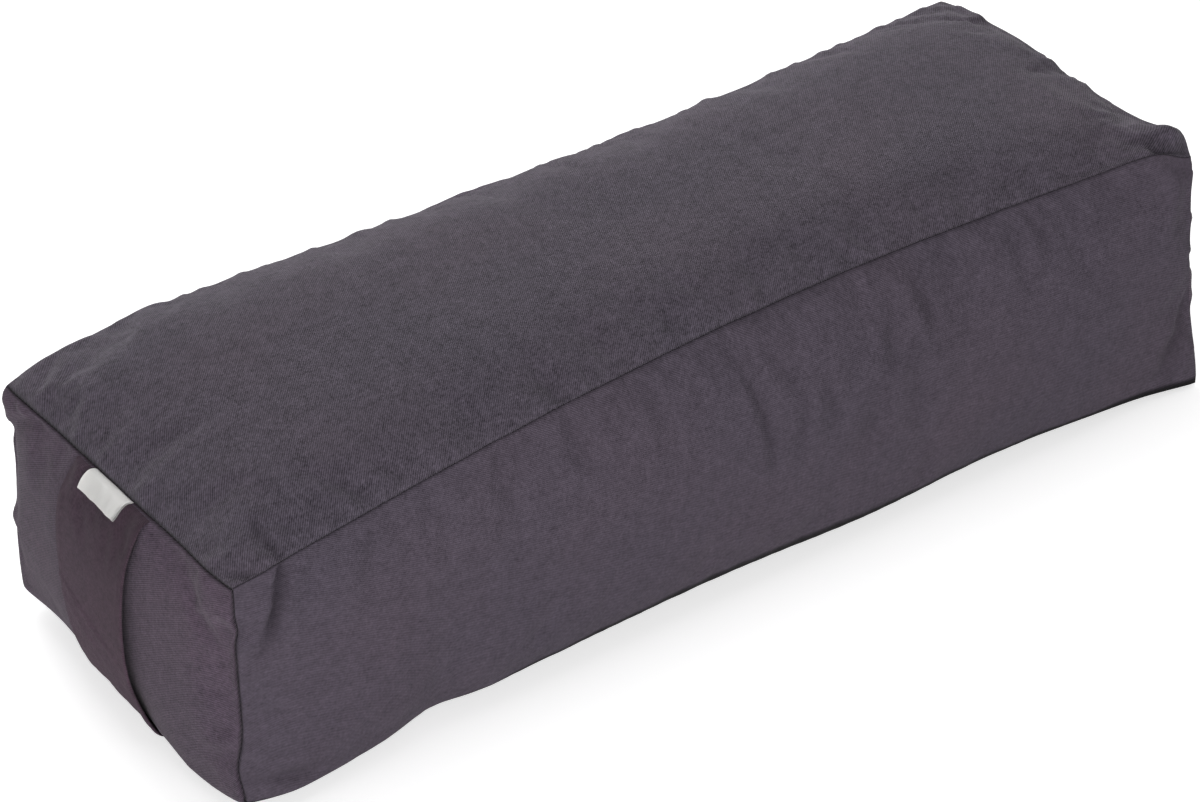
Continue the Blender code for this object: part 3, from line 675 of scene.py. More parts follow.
# Folds seen in the photograph, as rows: the start and the end on the face, in shares, the bow, the width and
# the depth, in metres, how open the fold is at its start, and how dark the painted shade in its valley is
foldsOnFaces = {
    "front": [
        ((-0.905, 1.00), (-0.966, 0.28), 0.002, 0.0026, 0.0044, 0.55, 0.78),
        ((-0.990, -0.79), (-0.850, -0.84), 0.000, 0.0038, 0.0018, 0.30, 0.26),
        ((-0.985, 0.60), (-0.930, 0.50), 0.000, 0.0040, 0.0016, 1.00, 0.00),
        ((-0.992, 0.00), (-0.940, -0.08), 0.000, 0.0040, 0.0014, 1.00, 0.00),
        ((0.996, -0.25), (0.922, -0.97), -0.005, 0.0045, 0.0036, 0.30, 0.35),
        ((-0.735, 0.97), (-0.765, 0.60), 0.002, 0.0045, 0.0016, 0.60, 0.12),
        ((-0.350, 0.92), (-0.300, 0.45), 0.002, 0.0045, 0.0017, 0.50, 0.12),
        ((-0.020, 0.95), (0.047, -0.20), 0.002, 0.0026, 0.0022, 0.20, 0.26),
        ((0.050, 0.85), (0.105, 0.40), 0.001, 0.0030, 0.0014, 0.40, 0.14),
        ((0.108, 0.45), (0.075, -0.05), 0.001, 0.0028, 0.0013, 0.40, 0.14),
        ((0.145, 0.60), (0.160, 0.00), 0.002, 0.0036, 0.0015, 0.30, 0.14),
        ((0.259, 0.30), (0.215, -0.30), 0.003, 0.0060, 0.0022, 0.20, 0.10),
        ((0.325, 0.80), (0.345, -0.25), 0.003, 0.0062, 0.0018, 0.40, 0.08),
        ((0.372, 0.93), (0.386, 0.40), 0.002, 0.0030, 0.0018, 0.30, 0.26),
        ((0.303, 0.78), (0.278, 0.22), 0.001, 0.0044, 0.0016, 0.30, 0.20),
        ((0.640, 0.97), (0.665, 0.62), 0.001, 0.0028, 0.0020, 0.50, 0.26),
        ((0.815, 0.97), (0.860, 0.60), 0.002, 0.0045, 0.0018, 0.60, 0.12),
    ],
    "top": [
        ((-0.903, -0.99), (-0.908, -0.70), 0.000, 0.0028, 0.0026, 0.70, 0.42),
        ((-0.960, -0.99), (-0.972, -0.88), 0.000, 0.0030, 0.0020, 0.70, 0.30),
        ((-0.725, -0.99), (-0.755, -0.72), 0.000, 0.0042, 0.0020, 0.60, 0.10),
        ((-0.790, -0.99), (-0.815, -0.76), 0.000, 0.0042, 0.0018, 0.60, 0.10),
        ((-0.326, -0.99), (-0.350, -0.74), 0.002, 0.0060, 0.0026, 0.60, 0.12),
        ((0.660, -0.97), (0.640, -0.78), 0.000, 0.0045, 0.0009, 0.60, 0.00),
        ((0.930, -0.80), (0.925, 0.30), 0.004, 0.0055, 0.0015, 0.40, 0.00),
        ((0.975, -0.85), (0.962, -0.20), 0.003, 0.0045, 0.0013, 0.40, 0.00),
        ((0.932, -1.00), (0.928, -0.80), 0.001, 0.0050, 0.0042, 0.80, 0.55),
        ((0.950, -0.98), (1.000, -0.93), 0.000, 0.0026, 0.0026, 0.80, 0.70),
    ],
}
foldForm = {"rootPower": 1.2, "middlePower": 1.5, "widening": 0.8, "ridge": 0.45, "ridgePlace": 1.9,
            "clearance": 0.0022}  # the folds die out this near to a seam
# Short creases that lead away from the seams of every face, with painted shade in their valleys. A seam is a
# face, one of its two ways and a side
seamCreases = {"pitch": 0.021, "length": (0.010, 0.030), "lean": 0.35, "width": (0.0030, 0.0042),
               "depth": (0.0003, 0.0008), "dark": 0.05, "quiet": 0.03, "seed": 4,
               "seams": [(face, way, side) for face in faces for way in (0, 1) for side in (-1, 1)],
               "without": [("front", 1, -1), ("handleEnd", 1, -1)]}
# Longer ones hang from the upper seams of the front and the back
longCreases = {"pitch": 0.040, "length": (0.025, 0.080), "lean": 0.15, "width": (0.0045, 0.0075),
               "depth": (0.0008, 0.0016), "dark": 0.08, "quiet": 0.05, "seed": 12,
               "seams": [("front", 1, 1), ("back", 1, 1)], "without": []}
creaseBow = 0.1  # the most that a crease bows, as a share of its length
creaseRoot = 0.8


def addSeamCreases(setup):
    random = np.random.default_rng(setup["seed"])
    for face in faces:
        halves = halvesOf(face)
        for index, side in ((0, -1), (0, 1), (1, -1), (1, 1)):
            seam = (face, 1 - index, side)
            if seam not in setup["seams"]:
                continue
            place = -halves[index] + setup["quiet"]
            while place < halves[index] - setup["quiet"]:
                length = random.uniform(*setup["length"])
                lean = random.uniform(-setup["lean"], setup["lean"]) * length
                start, end = np.zeros(2), np.zeros(2)
                start[index] = place / halves[index]
                end[index] = (place + lean) / halves[index]
                start[1 - index] = side
                end[1 - index] = side * (1 - length / halves[1 - index])
                crease = (start, end, random.uniform(-creaseBow, creaseBow) * length,
                          random.uniform(*setup["width"]), random.uniform(*setup["depth"]),
                          creaseRoot, setup["dark"])
                if seam not in setup["without"]:
                    foldsOnFaces.setdefault(face, []).append(crease)
                place += setup["pitch"] * random.uniform(0.5, 1.5)


addSeamCreases(seamCreases)
addSeamCreases(longCreases)


def foldsAt(face, first, second):
    # how far the folds lift the cloth, and the shade that lies in their valleys
    halves = halvesOf(face)
    x = first * halves[0]
    y = second * halves[1]
    total = np.zeros(np.broadcast(x, y).shape)
    shade = np.ones(total.shape)
    for start, end, bow, width, depth, root, dark in foldsOnFaces.get(face, []):
        start = np.multiply(start, halves)
        end = np.multiply(end, halves)
        length = np.linalg.norm(end - start)
        run = (end - start) / length
        along = ((x - start[0]) * run[0] + (y - start[1]) * run[1]) / length
        off = (y - start[1]) * run[0] - (x - start[0]) * run[1]
        off = off - bow * 4 * along * (1 - along)
        inside = np.clip(along, 0, 1)
        fade = root * (1 - inside) ** foldForm["rootPower"]
        fade = fade + (1 - root) * np.sin(math.pi * inside) ** foldForm["middlePower"]
        outside = np.maximum(0, np.maximum(-along, along - 1)) * length
        fade = fade * np.exp(-(outside / width) ** 2)
        wide = width * (1 + foldForm["widening"] * inside)
        valley = -np.exp(-(off / wide) ** 2)
        ridges = foldForm["ridge"] * np.exp(-((np.abs(off) - foldForm["ridgePlace"] * wide) / wide) ** 2)
        total = total + depth * fade * (valley + ridges)
        shade = shade * (1 + dark * fade * valley)
    fromSeam = np.minimum(halves[0] - np.abs(x), halves[1] - np.abs(y))
    return total * (1 - np.exp(-(fromSeam / foldForm["clearance"]) ** 2)), shade


# How the cloth rounds over beside a sewn seam and turns in at it, and the painted shade in its crease
seamForm = {"round": 0.0060, "swell": 0.0012, "sink": 0.0004, "groove": 0.0006, "grooveWidth": 0.0005,
            "apart": 0.00008, "apartWithin": 0.25,  # the panels' gap, and how much of the round it takes
            "shadeWidth": 0.0006, "shade": 0.25}
# A painted shadow along the front's lower edge, where its cloth turns under at the floor: its width at shares
# of the length
lowerEdgeShadow = {"places": (-0.62, -0.40, -0.10, 0.20, 0.45, 0.80, 1.00),
             "widths": (0.0020, 0.0070, 0.0106, 0.0102, 0.0074, 0.0060, 0.0056), "dark": 0.97, "power": 10}
puffedFaces = ("top", "front", "handleEnd", "farEnd")  # these swell a little between their seams
# The handle end's seams with the top and the front are drawn in most deeply, with the darkest painted shade
boldSeams = {frozenset({("along", -1), ("up", 1)}): 3.2, frozenset({("along", -1), ("across", -1)}): 3.0,
             frozenset({("across", -1), ("up", 1)}): 1.35}


def boldnessAt(face, way, share):
    fixed = (missingWay(face), int(faces[face]["side"]))
    low, high = (boldSeams.get(frozenset({fixed, (way, end)}), 1.0) for end in (-1, 1))
    return np.where(share < 0, low, high)


def surfaceAt(face, first, second):
    # a point of the finished cover
    first, second = np.broadcast_arrays(np.asarray(first, float), np.asarray(second, float))
    shares = allShares(face, first, second)
    points = skinPoints(*shares) + puckersAt(face, first, second) + lumpsAt(*shares)
    normal = normalOf(face)
    points = points + foldsAt(face, first, second)[0][..., None] * normal
    turns = []
    for way, share in zip(faces[face]["shares"], (first, second)):
        distance = (1 - np.abs(share)) * halfOf[way]
        outward = np.zeros(first.shape + (3,))
        outward[..., axisOf[way]] = np.sign(share)
        bold = boldnessAt(face, way, share)
        bend = np.maximum(0, 1 - distance / seamForm["round"]) ** 2
        groove = bold * np.exp(-(distance / (seamForm["grooveWidth"] * bold ** 0.5)) ** 2)
        apart = seamForm["apart"] * (distance < seamForm["round"] * seamForm["apartWithin"])
        turns.append((bend, groove, outward, apart))
    bendAll = 1 - (1 - turns[0][0]) * (1 - turns[1][0])
    grooveAll = np.maximum(turns[0][1], turns[1][1])
    deep = seamForm["groove"] / math.sqrt(2)
    puff = seamForm["swell"] * (1 - bendAll) if face in puffedFaces else 0
    points = points + (puff - seamForm["sink"] * bendAll - deep * grooveAll)[..., None] * normal
    for bend, groove, outward, apart in turns:
        points = points - (seamForm["sink"] * bend ** 2 + deep * groove + apart)[..., None] * outward
    if face != "top":
        points[..., 2] = np.maximum(points[..., 2], 0.0)
    return points


def shadesAt(face, first, second):
    # the shade beside the seams, and the shade in the folds and along the lower edge
    shade = np.ones(np.broadcast(first, second).shape)
    for way, share in zip(faces[face]["shares"], (first, second)):
        distance = (1 - np.abs(share)) * halfOf[way]
        bold = boldnessAt(face, way, share)
        width = seamForm["shadeWidth"] * bold ** 0.5
        shade = shade * (1 - seamForm["shade"] * bold * np.exp(-(distance / width) ** 2))
    folds = foldsAt(face, first, second)[1]
    if face == "front":
        # painted shadow on the front's lowest band of cloth, where it turns under at the floor
        width = np.interp(first, lowerEdgeShadow["places"], lowerEdgeShadow["widths"])
        edge = np.exp(-((1 + second) * halfHeight / width) ** lowerEdgeShadow["power"])
        folds = folds * (1 - lowerEdgeShadow["dark"] * edge)
    return np.stack([shade, folds], axis=-1)


meshSetup = {"cell": 0.0024, "seamLines": (0, 0.0004, 0.0009, 0.0015, 0.0023, 0.0035, 0.0050, 0.0070),
             "allowance": (0.004, 0.009), "allowanceStep": 0.004}
allowanceSteps = meshSetup["allowanceStep"] * np.array([1, 2])


def linesOf(way):
    # shares from -1 to 1, close together beside the seams
    half = halfOf[way]
    near = meshSetup["seamLines"]
    count = max(2, int(round(2 * (half - near[-1]) / meshSetup["cell"])))
    middle = np.linspace(-half + near[-1], half - near[-1], count + 1)
    edge = np.array([-half + value for value in near[:-1]])
    return np.concatenate([edge, middle, -edge[::-1]]) / half


def addMesh(name, points, cells, material, slot, cloth=None, shade=None):
    mesh = bpy.data.meshes.new(name)
    mesh.from_pydata(np.asarray(points).reshape(-1, 3).tolist(), [], [list(map(int, cell)) for cell in cells])
    mesh.update()
    mesh.shade_smooth()
    if cloth is not None:
        corners = np.zeros(len(mesh.loops), int)
        mesh.loops.foreach_get("vertex_index", corners)
        layer = mesh.uv_layers.new(name="clothMap")
        layer.uv.foreach_set("vector", np.asarray(cloth, float).reshape(-1, 2)[corners].ravel())
    shades = np.ones((len(mesh.vertices), 2)) if shade is None else shade.reshape(-1, 2)
    for attribute, values in zip(("seamShade", "foldShade"), shades.T):
        layer = mesh.attributes.new(attribute, "FLOAT", "POINT")
        layer.data.foreach_set("value", np.ascontiguousarray(values))
    mesh.materials.append(materials[material])
    made = addObject(name, mesh)
    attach(made, "cushion")
    return made


def turnIn(border, outward, depths=meshSetup["allowance"]):
    # the lines of cloth that turn in past a border
    inward = -np.asarray(outward) / math.sqrt(2)
    return [border + inward * depth for depth in depths]


def withAllowances(face, points, sides):
    # adds the cloth that turns in past the seams on some sides, each a way of the face and an end
    for index, end in sides:
        outward = normalOf(face)
        outward[axisOf[faces[face]["shares"][index]]] = end
        border = np.take(points, -1 if end > 0 else 0, axis=index)
        strips = np.stack(turnIn(border, outward)[::end], axis=index)
        points = np.concatenate([points, strips] if end > 0 else [strips, points], axis=index)
    return points


def extendLines(values):
    return np.concatenate([values[0] - allowanceSteps[::-1], values, values[-1] + allowanceSteps])


def addCoverPanel(name, face, node, material):
    lines = [linesOf(way) for way in faces[face]["shares"]]
    a, b = gridOf(*lines)
    points = withAllowances(face, surfaceAt(face, a, b), ((0, -1), (0, 1), (1, -1), (1, 1)))
    shade = np.pad(shadesAt(face, a, b), ((2, 2), (2, 2), (0, 0)), mode="edge")
    lines = [extendLines(line * half) for line, half in zip(lines, halvesOf(face))]
    cloth = np.stack(gridOf(*lines), axis=-1)
    cells = gridCells(*cloth.shape[:2], isFlipped(face))
    panel = addMesh(name, points, cells, material, "twill", cloth, shade)
    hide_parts(node)


addCoverPanel("coverTop", "top", "cover_top_panel", "coverTwill")
addCoverPanel("coverBottom", "bottom", "cover_bottom_panel", "coverTwill")
addCoverPanel("coverFront", "front", "cover_front_panel", "frontTwill")
addCoverPanel("coverHandleEnd", "handleEnd", "cover_handle_end_panel", "endTwill")
addCoverPanel("coverFarEnd", "farEnd", "cover_far_end_panel", "endTwill")
print("cover panels made")

# Back of the cover: an upper and a lower strip with the zip's window between them. The hem behind the
# window's edge is given by how deep and how far back it lies
backStrips = {"hem": ((0.0006, 0.0), (0.0009, 0.0012), (0.0009, 0.0070)), "hemStep": 0.0008,
              "edgeLines": (0, 0.0006, 0.0014, 0.0026), "edgeRound": 0.0016, "edgeSink": 0.0005,
              "closedSink": 0.0013, "foldedIn": 0.011}


def windowHalf(along):
    closed = seamForm["apart"]
    past = (np.abs(along) - windowEnd) / (levelEnd - windowEnd)
    return closed + (cushion["windowWidth"] / 2 - closed) * np.clip(1 - past, 0, 1)


def addBackStrip(name, side, node):
    along = linesOf("along")
    near = np.array(meshSetup["seamLines"]) / halfHeight
    edge = np.array(backStrips["edgeLines"]) / halfHeight
    count = int(round((1 - near[-1] - edge[-1]) * halfHeight / meshSetup["cell"]))
    run = np.concatenate([edge[:-1], np.linspace(edge[-1], 1 - near[-1], count + 1), 1 - near[-2::-1]])
    a, t = gridOf(along, run)
    start = upShareAt(zipHeight + side * windowHalf(a), a)
    up = start + (side - start) * t
    points = surfaceAt("back", a, up)
    openness = np.clip((windowHalf(a) - seamForm["apart"]) / (cushion["windowWidth"] / 2), 0, 1)
    sink = backStrips["closedSink"] * (1 - openness) + backStrips["edgeSink"] * openness
    points[..., 1] -= sink * np.maximum(0, 1 - t * halfHeight / backStrips["edgeRound"]) ** 2
    hem = [points[:, 0] + (0, -deep, side * back) for deep, back in backStrips["hem"][::-1]]
    points = np.concatenate([np.stack(hem, axis=1), points], axis=1)
    points = withAllowances("back", points, ((0, -1), (0, 1)))
    strips = turnIn(points[:, -1], normalOf("back") + (0, 0, side))
    points = np.concatenate([points, np.stack(strips, axis=1)], axis=1)
    shade = np.concatenate([np.ones((len(along), len(hem), 2)), shadesAt("back", a, up)], axis=1)
    shade = np.pad(shade, ((2, 2), (0, 2), (0, 0)), mode="edge")
    hemRun = [-back - backStrips["hemStep"] for _, back in backStrips["hem"][::-1]]
    pastSeam = 1 + allowanceSteps / halfHeight
    v = side * np.concatenate([hemRun, run * halfHeight, pastSeam * halfHeight])
    cloth = np.stack(gridOf(extendLines(along * halfLength), v), axis=-1)
    strip = addMesh(name, points, gridCells(*cloth.shape[:2], side > 0), "frontTwill", "twill", cloth, shade)
    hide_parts(node)


addBackStrip("coverBackUpper", 1, "cover_back_upper_strip")
addBackStrip("coverBackLower", -1, "cover_back_lower_strip")
print("back strips made")


def closedSheet(outer, inner):
    # joins two grids of points into one closed sheet
    rows, columns = outer.shape[:2]
    size = rows * columns
    number = np.arange(size).reshape(rows, columns)
    cells = quadsOf(number).tolist() + (quadsOf(number, True) + size).tolist()
    rim = np.concatenate([number[0, :], number[1:, -1], number[-1, -2::-1], number[-2:0:-1, 0]])
    following = np.roll(rim, -1)
    cells += np.stack([rim, rim + size, following + size, following], axis=-1).tolist()
    return np.concatenate([outer.reshape(-1, 3), inner.reshape(-1, 3)]), cells


# Tapes of the zip, whose inner edges run between the teeth and almost meet
zipTape = {"thickness": 0.0005, "bead": 0.00015, "beadPlace": 0.0034, "beadWidth": 0.0005,
           "stations": 161, "lines": (0.0033, 0.0037, 0.0042, 0.0052, 0.0080),
           "colour": (0.050, 0.042, 0.053), "roughness": 0.8, "sheen": 0.08,
           "ribs": 0.0007, "herringbone": 0.002, "relief": 0.00012, "fibres": 2400,
           "fibreHeight": 0.4, "darkest": 0.75, "ribShade": 0.35, "fibreShade": 0.2}


def makeTape(look):
    material, tree, shader = newMaterial("zipTapeWeave", look["colour"], {
        "Roughness": look["roughness"], "Sheen Weight": look["sheen"]})
    cloth, run, across = clothPlace(tree)
    fold = addMath(tree, "PINGPONG", across, look["herringbone"])
    turns = addMath(tree, "MULTIPLY", addMath(tree, "ADD", run, fold), 2 * math.pi / look["ribs"])
    rib = addWave(tree, turns)
    fibres = addNoise(tree, cloth, look["fibres"], 2)
    height = addMath(tree, "MULTIPLY_ADD", fibres, look["fibreHeight"], rib)
    addBump(tree, shader, height, look["relief"])
    amount = addMath(tree, "MULTIPLY_ADD", rib, look["ribShade"], look["darkest"])
    amount = addMath(tree, "MULTIPLY_ADD", fibres, look["fibreShade"], amount)
    tintBy(tree, shader, look["colour"], amount)
    return material


materials["zipTape"] = makeTape(zipTape)


def addTape(name, side, node):
    offsets = [seamForm["apart"], cushion["tapeInner"], *zipTape["lines"], cushion["tapeOuter"]][::-side]
    a, height = gridOf(np.linspace(-levelEnd, levelEnd, zipTape["stations"]), offsets)
    up = upShareAt(zipHeight + side * height, a)
    outer = skinPoints(a, 1.0, up, cushion["tapeDepth"])
    inner = skinPoints(a, 1.0, up, cushion["tapeDepth"] + zipTape["thickness"])
    outer[..., 1] += zipTape["bead"] * np.exp(-((height - zipTape["beadPlace"]) / zipTape["beadWidth"]) ** 2)
    cloth = np.stack([a * halfLength, side * height], axis=-1)
    tape = addMesh(name, *closedSheet(outer, inner), "zipTape", "zip_tape", np.stack([cloth, cloth]))
    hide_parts(node)


addTape("zipTapeUpper", 1, "zip_tape_upper")
addTape("zipTapeLower", -1, "zip_tape_lower")

# Sewing thread round the zip's window. The stations of a stitch: the place along it, the width and the height
threadSetup = {"stitch": 0.0027, "pitch": 0.0032, "radius": 0.00026, "fromEdge": 0.0027, "pastEnd": 0.001,
               "sides": 6, "stations": ((-0.5, 0.35, -0.20), (-0.3, 0.85, 0.35), (0.0, 1.0, 0.50),
                                        (0.3, 0.85, 0.35), (0.5, 0.35, -0.20)),
               "clearOfTeeth": 0.3,  # no stitch lies so near to the middle, as a share of the window
               "colour": (0.070, 0.058, 0.073), "roughness": 0.6, "sheen": 0.3,
               "twist": 3200, "relief": 0.0001, "darkest": 0.8, "twistShade": 0.4}


def makeThread(look):
    material, tree, shader = newMaterial("sewingThread", look["colour"], {
        "Roughness": look["roughness"], "Sheen Weight": look["sheen"]})
    twist = addNoise(tree, objectPlace(tree), look["twist"], 1)
    addBump(tree, shader, twist, look["relief"])
    amount = addMath(tree, "MULTIPLY_ADD", twist, look["twistShade"], look["darkest"])
    tintBy(tree, shader, look["colour"], amount)
    return material


materials["thread"] = makeThread(threadSetup)


def addStitches(name, runs, setup):
    points = []
    cells = []
    sides = setup["sides"]
    for middle, direction, outward in runs:
        beside = np.cross(direction, outward)
        rings = np.arange(len(points), len(points) + sides * len(setup["stations"])).reshape(-1, sides)
        for along, wide, high in setup["stations"]:
            centre = middle + direction * along * setup["stitch"] + outward * high * setup["radius"]
            for angle in np.arange(sides) * 2 * math.pi / sides:
                ring = beside * math.cos(angle) + outward * math.sin(angle)
                points.append(centre + ring * wide * setup["radius"])
        following = np.roll(rings, -1, axis=1)
        walls = np.stack([rings[:-1], rings[1:], following[1:], following[:-1]], axis=-1)
        cells += walls.reshape(-1, 4).tolist() + [rings[0].tolist(), rings[-1, ::-1].tolist()]
    addMesh(name, points, cells, "thread", "twill")


def zipStitches(setup):
    # the middle, the direction and the outward direction of each stitch
    runs = []
    offset = cushion["windowWidth"] / 2 + setup["fromEdge"]
    span = windowEnd * halfLength + setup["pastEnd"]
    count = int(2 * span / setup["pitch"])
    bars = int(2 * offset / setup["pitch"])
    places = [(-span + (index + 0.5) * 2 * span / count, side * offset, (1, 0, 0))
              for side in (1, -1) for index in range(count)]
    for end in (1, -1):
        for index in range(bars):
            z = -offset + (index + 0.5) * 2 * offset / bars
            if abs(z) >= cushion["windowWidth"] * setup["clearOfTeeth"]:
                places.append((end * (span + setup["pastEnd"]), z, (0, 0, 1)))
    for x, z, direction in places:
        along = x / halfLength
        middle = surfaceAt("back", along, upShareAt(zipHeight + z, along))
        runs.append((middle, np.array(direction, float), normalOf("back")))
    return runs


addStitches("zipStitches", zipStitches(threadSetup), threadSetup)
print("zip tapes and stitches made")

# Carrying strap
strap = {
    "width": 0.0720, "length": 0.165, "offset": 0.005, "drift": -0.0072, "thickness": 0.0018, "gap": 0.0003,
    "slack": 0.0052, "slackLean": 0.80,
    "columns": 44, "rows": 64, "edgeRows": (0, 0.0005, 0.0012, 0.0022, 0.0036),
    "rowGap": 0.02, "tailRows": (0.02, 0.05),  # as shares of the height
    "ridge": 0.0003, "ridgeIn": 0.0042, "ridgeWidth": 0.0014,  # the raised line beside each edge
    "waver": (0.0006, 3.1, 0.6),  # how far the edges waver, how fast and from where
    "entry": 0.008, "entryPower": 0.7, "tail": (0.0015, 0.0040),
    # folds: both ends across and up, in metres, the width and the height
    "folds": [((0.046, -0.004), (-0.026, -0.026), 0.0015, 0.0016),
              ((0.050, -0.014), (-0.010, -0.038), 0.0024, 0.0007)],
    # how far the folds reach; painted shade towards the strap's top, from a share of its height, and towards
    # its front edge; the painted highlight along the folds
    "foldReach": 1.3, "upperShade": 0.30, "upperFrom": -0.3, "frontShade": 0.14, "foldHighlight": 110,
}


def strapFolds(y, up):
    total = 0
    for start, end, width, high in strap["folds"]:
        run = np.array(end) - start
        length = np.linalg.norm(run)
        fromY, fromZ = y - start[0], up * halfHeight - start[1]
        along = (fromY * run[0] + fromZ * run[1]) / length ** 2
        off = (fromY * run[1] - fromZ * run[0]) / length
        fade = np.clip(strap["foldReach"] - np.abs(2 * along - 1), 0, 1)
        total = total + high * np.exp(-(off / width) ** 2) * fade
    return total


def strapBase(y, up):
    base = surfaceAt("handleEnd", y / halfWidth, up)
    lean = 1 - strap["slackLean"] * np.clip(0.5 + (y - strap["offset"]) / strap["width"], 0, 1)
    base[..., 0] -= strap["gap"] + strap["slack"] * lean * riseOf(up, 2) + strapFolds(y, up)
    return base


def strapPress(up):
    # the strap is squeezed flat where the seams hold it
    distance = (1 - np.abs(up)) * halfHeight
    return 0.5 + 0.5 * np.clip(distance / strap["entry"], 0, 1) ** strap["entryPower"]


def addStrap():
    half = strap["width"] / 2
    radius = strap["thickness"] / 2
    flat = np.linspace(-half + radius, half - radius, strap["columns"] + 1)
    turn = np.radians([-60, -30, 0, 30, 60])  # round each edge
    across = np.concatenate([flat, half - radius + radius * np.cos(turn), flat[::-1],
                             -half + radius - radius * np.cos(turn)])
    high = np.concatenate([np.zeros(len(flat)), radius + radius * np.sin(turn),
                           np.full(len(flat), strap["thickness"]), radius - radius * np.sin(turn)])
    ridge = strap["ridge"] * np.exp(-((np.abs(across) - half + strap["ridgeIn"]) / strap["ridgeWidth"]) ** 2)
    high = high + ridge * (high > radius * 1.5)  # on the outer side only
    edgeRows = 1 - np.array(strap["edgeRows"]) / halfHeight
    middle = np.linspace(-edgeRows[-1] + strap["rowGap"], edgeRows[-1] - strap["rowGap"], strap["rows"])
    up = np.concatenate([-edgeRows, middle, edgeRows[::-1]])
    u, b = gridOf(up, across)
    points = strapBase(b + strap["offset"] + strap["drift"] * u ** 2, u)
    points[..., 0] -= high * strapPress(u)
    size, speed, start = strap["waver"]
    points[..., 1] += size * np.sin(u * speed + start) * b / half
    lower = turnIn(points[0], (-1, 0, -1), strap["tail"])[::-1]
    upper = turnIn(points[-1], (-1, 0, 1), strap["tail"])
    points = np.concatenate([lower, points, upper])
    tail = np.array(strap["tailRows"])
    up = np.concatenate([up[0] - tail[::-1], up, up[-1] + tail])
    u, b = gridOf(up, across)
    number = np.arange(u.size).reshape(u.shape)
    following = np.roll(number, -1, axis=1)
    corners = (number[:-1], following[:-1], following[1:], number[1:])
    cells = np.stack(corners, axis=-1).reshape(-1, 4).tolist()
    cells += [number[0, ::-1].tolist(), number[-1].tolist()]
    cloth = np.stack([u * halfHeight, b], axis=-1)
    # painted shade, darker towards the strap's top and its front edge, and a painted highlight along its
    # folds
    shade = np.ones(u.shape + (2,))
    higher = np.clip((u - strap["upperFrom"]) / (1 - strap["upperFrom"]), 0, 1)
    shade[..., 1] -= strap["upperShade"] * higher
    shade[..., 1] -= strap["frontShade"] * (0.5 - b / strap["width"])
    shade[..., 1] += strap["foldHighlight"] * strapFolds(b + strap["offset"], u)
    made = addMesh("carryingStrap", points, cells, "strapTwill", "strap_twill", cloth, shade)
    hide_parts("handle_strap")


addStrap()
print("strap made")

# Blank label, folded double
label = {
    "width": 0.0368, "drop": 0.0145, "offset": -0.0004, "slant": 0.0026, "thickness": 0.00034,
    "sewnIn": 0.006,  # what the fold and the seam take up
    "clear": 0.0004, "fold": 0.0005, "lift": 0.0002, "curl": 0.0016, "tuck": 0.003,
    "rows": 22, "columns": 16, "samples": 60, "lowest": 0.45, "step": 0.001,
    "colour": (0.86, 0.85, 0.83), "roughness": 0.5, "sheen": 0.1,
    "weft": 0.00022, "warp": 0.00035, "warpHeight": 0.3, "relief": 0.00003, "soil": 120,
    "shade": 0.96, "threadShade": 0.015, "soilShade": 0.05,
}


def makeLabel(look):
    material, tree, shader = newMaterial("labelSatin", look["colour"], {
        "Roughness": look["roughness"], "Sheen Weight": look["sheen"]})
    cloth, run, rise = clothPlace(tree)
    weft = addMath(tree, "SINE", addMath(tree, "MULTIPLY", rise, 2 * math.pi / look["weft"]))
    warp = addMath(tree, "SINE", addMath(tree, "MULTIPLY", run, 2 * math.pi / look["warp"]))
    threads = addMath(tree, "MULTIPLY_ADD", warp, look["warpHeight"], weft)
    addBump(tree, shader, threads, look["relief"])
    soil = addNoise(tree, cloth, look["soil"], 3)
    amount = addMath(tree, "MULTIPLY_ADD", threads, look["threadShade"], look["shade"])
    amount = addMath(tree, "MULTIPLY_ADD", soil, look["soilShade"], amount)
    tintBy(tree, shader, look["colour"], amount)
    return material


materials["label"] = makeLabel(label)


def labelPath(y, corner):
    # the label's middle line from the seam down its front, round the fold and up behind it
    ups = np.linspace(1, label["lowest"], label["samples"])
    base = strapBase(np.full(len(ups), y), ups)
    base[:, 0] -= strap["thickness"] * strapPress(ups)
    run = np.concatenate([[0], np.cumsum(np.linalg.norm(np.diff(base, axis=0), axis=1))])
    base[:, 1] += label["slant"] * run / label["drop"]

    def placeAt(distance):
        return np.array([np.interp(distance, run, base[:, way]) for way in range(3)])

    def over(distance, high):
        place = placeAt(distance)
        ahead = placeAt(distance + label["step"]) - place
        ahead[1] = 0
        ahead /= np.linalg.norm(ahead)
        outward = np.array([ahead[2], 0, -ahead[0]])
        return place + outward * high, ahead, outward

    drop = label["drop"] - label["fold"]
    rows = np.linspace(0, drop, label["rows"] + 1)
    shares = rows / drop
    rises = label["clear"] + (label["lift"] + label["curl"] * corner) * shares ** 2
    openings = 2 * label["fold"] * np.minimum(1, shares * 3) ** 0.5  # opens in its first third
    path = [over(distance, high)[0] for distance, high in zip(rows, rises + openings)]
    place, ahead, outward = over(drop, rises[-1] + label["fold"])
    path += [place + label["fold"] * (outward * math.cos(angle) + ahead * math.sin(angle))
             for angle in np.radians(np.arange(20, 180, 20))]
    path += [over(distance, high)[0] for distance, high in zip(rows[::-1], rises[::-1])]
    tucked = [turnIn(end, (-1, 0, 1), [label["tuck"]])[0] for end in (path[0], path[-1])]
    return np.array([tucked[0], *path, tucked[1]])


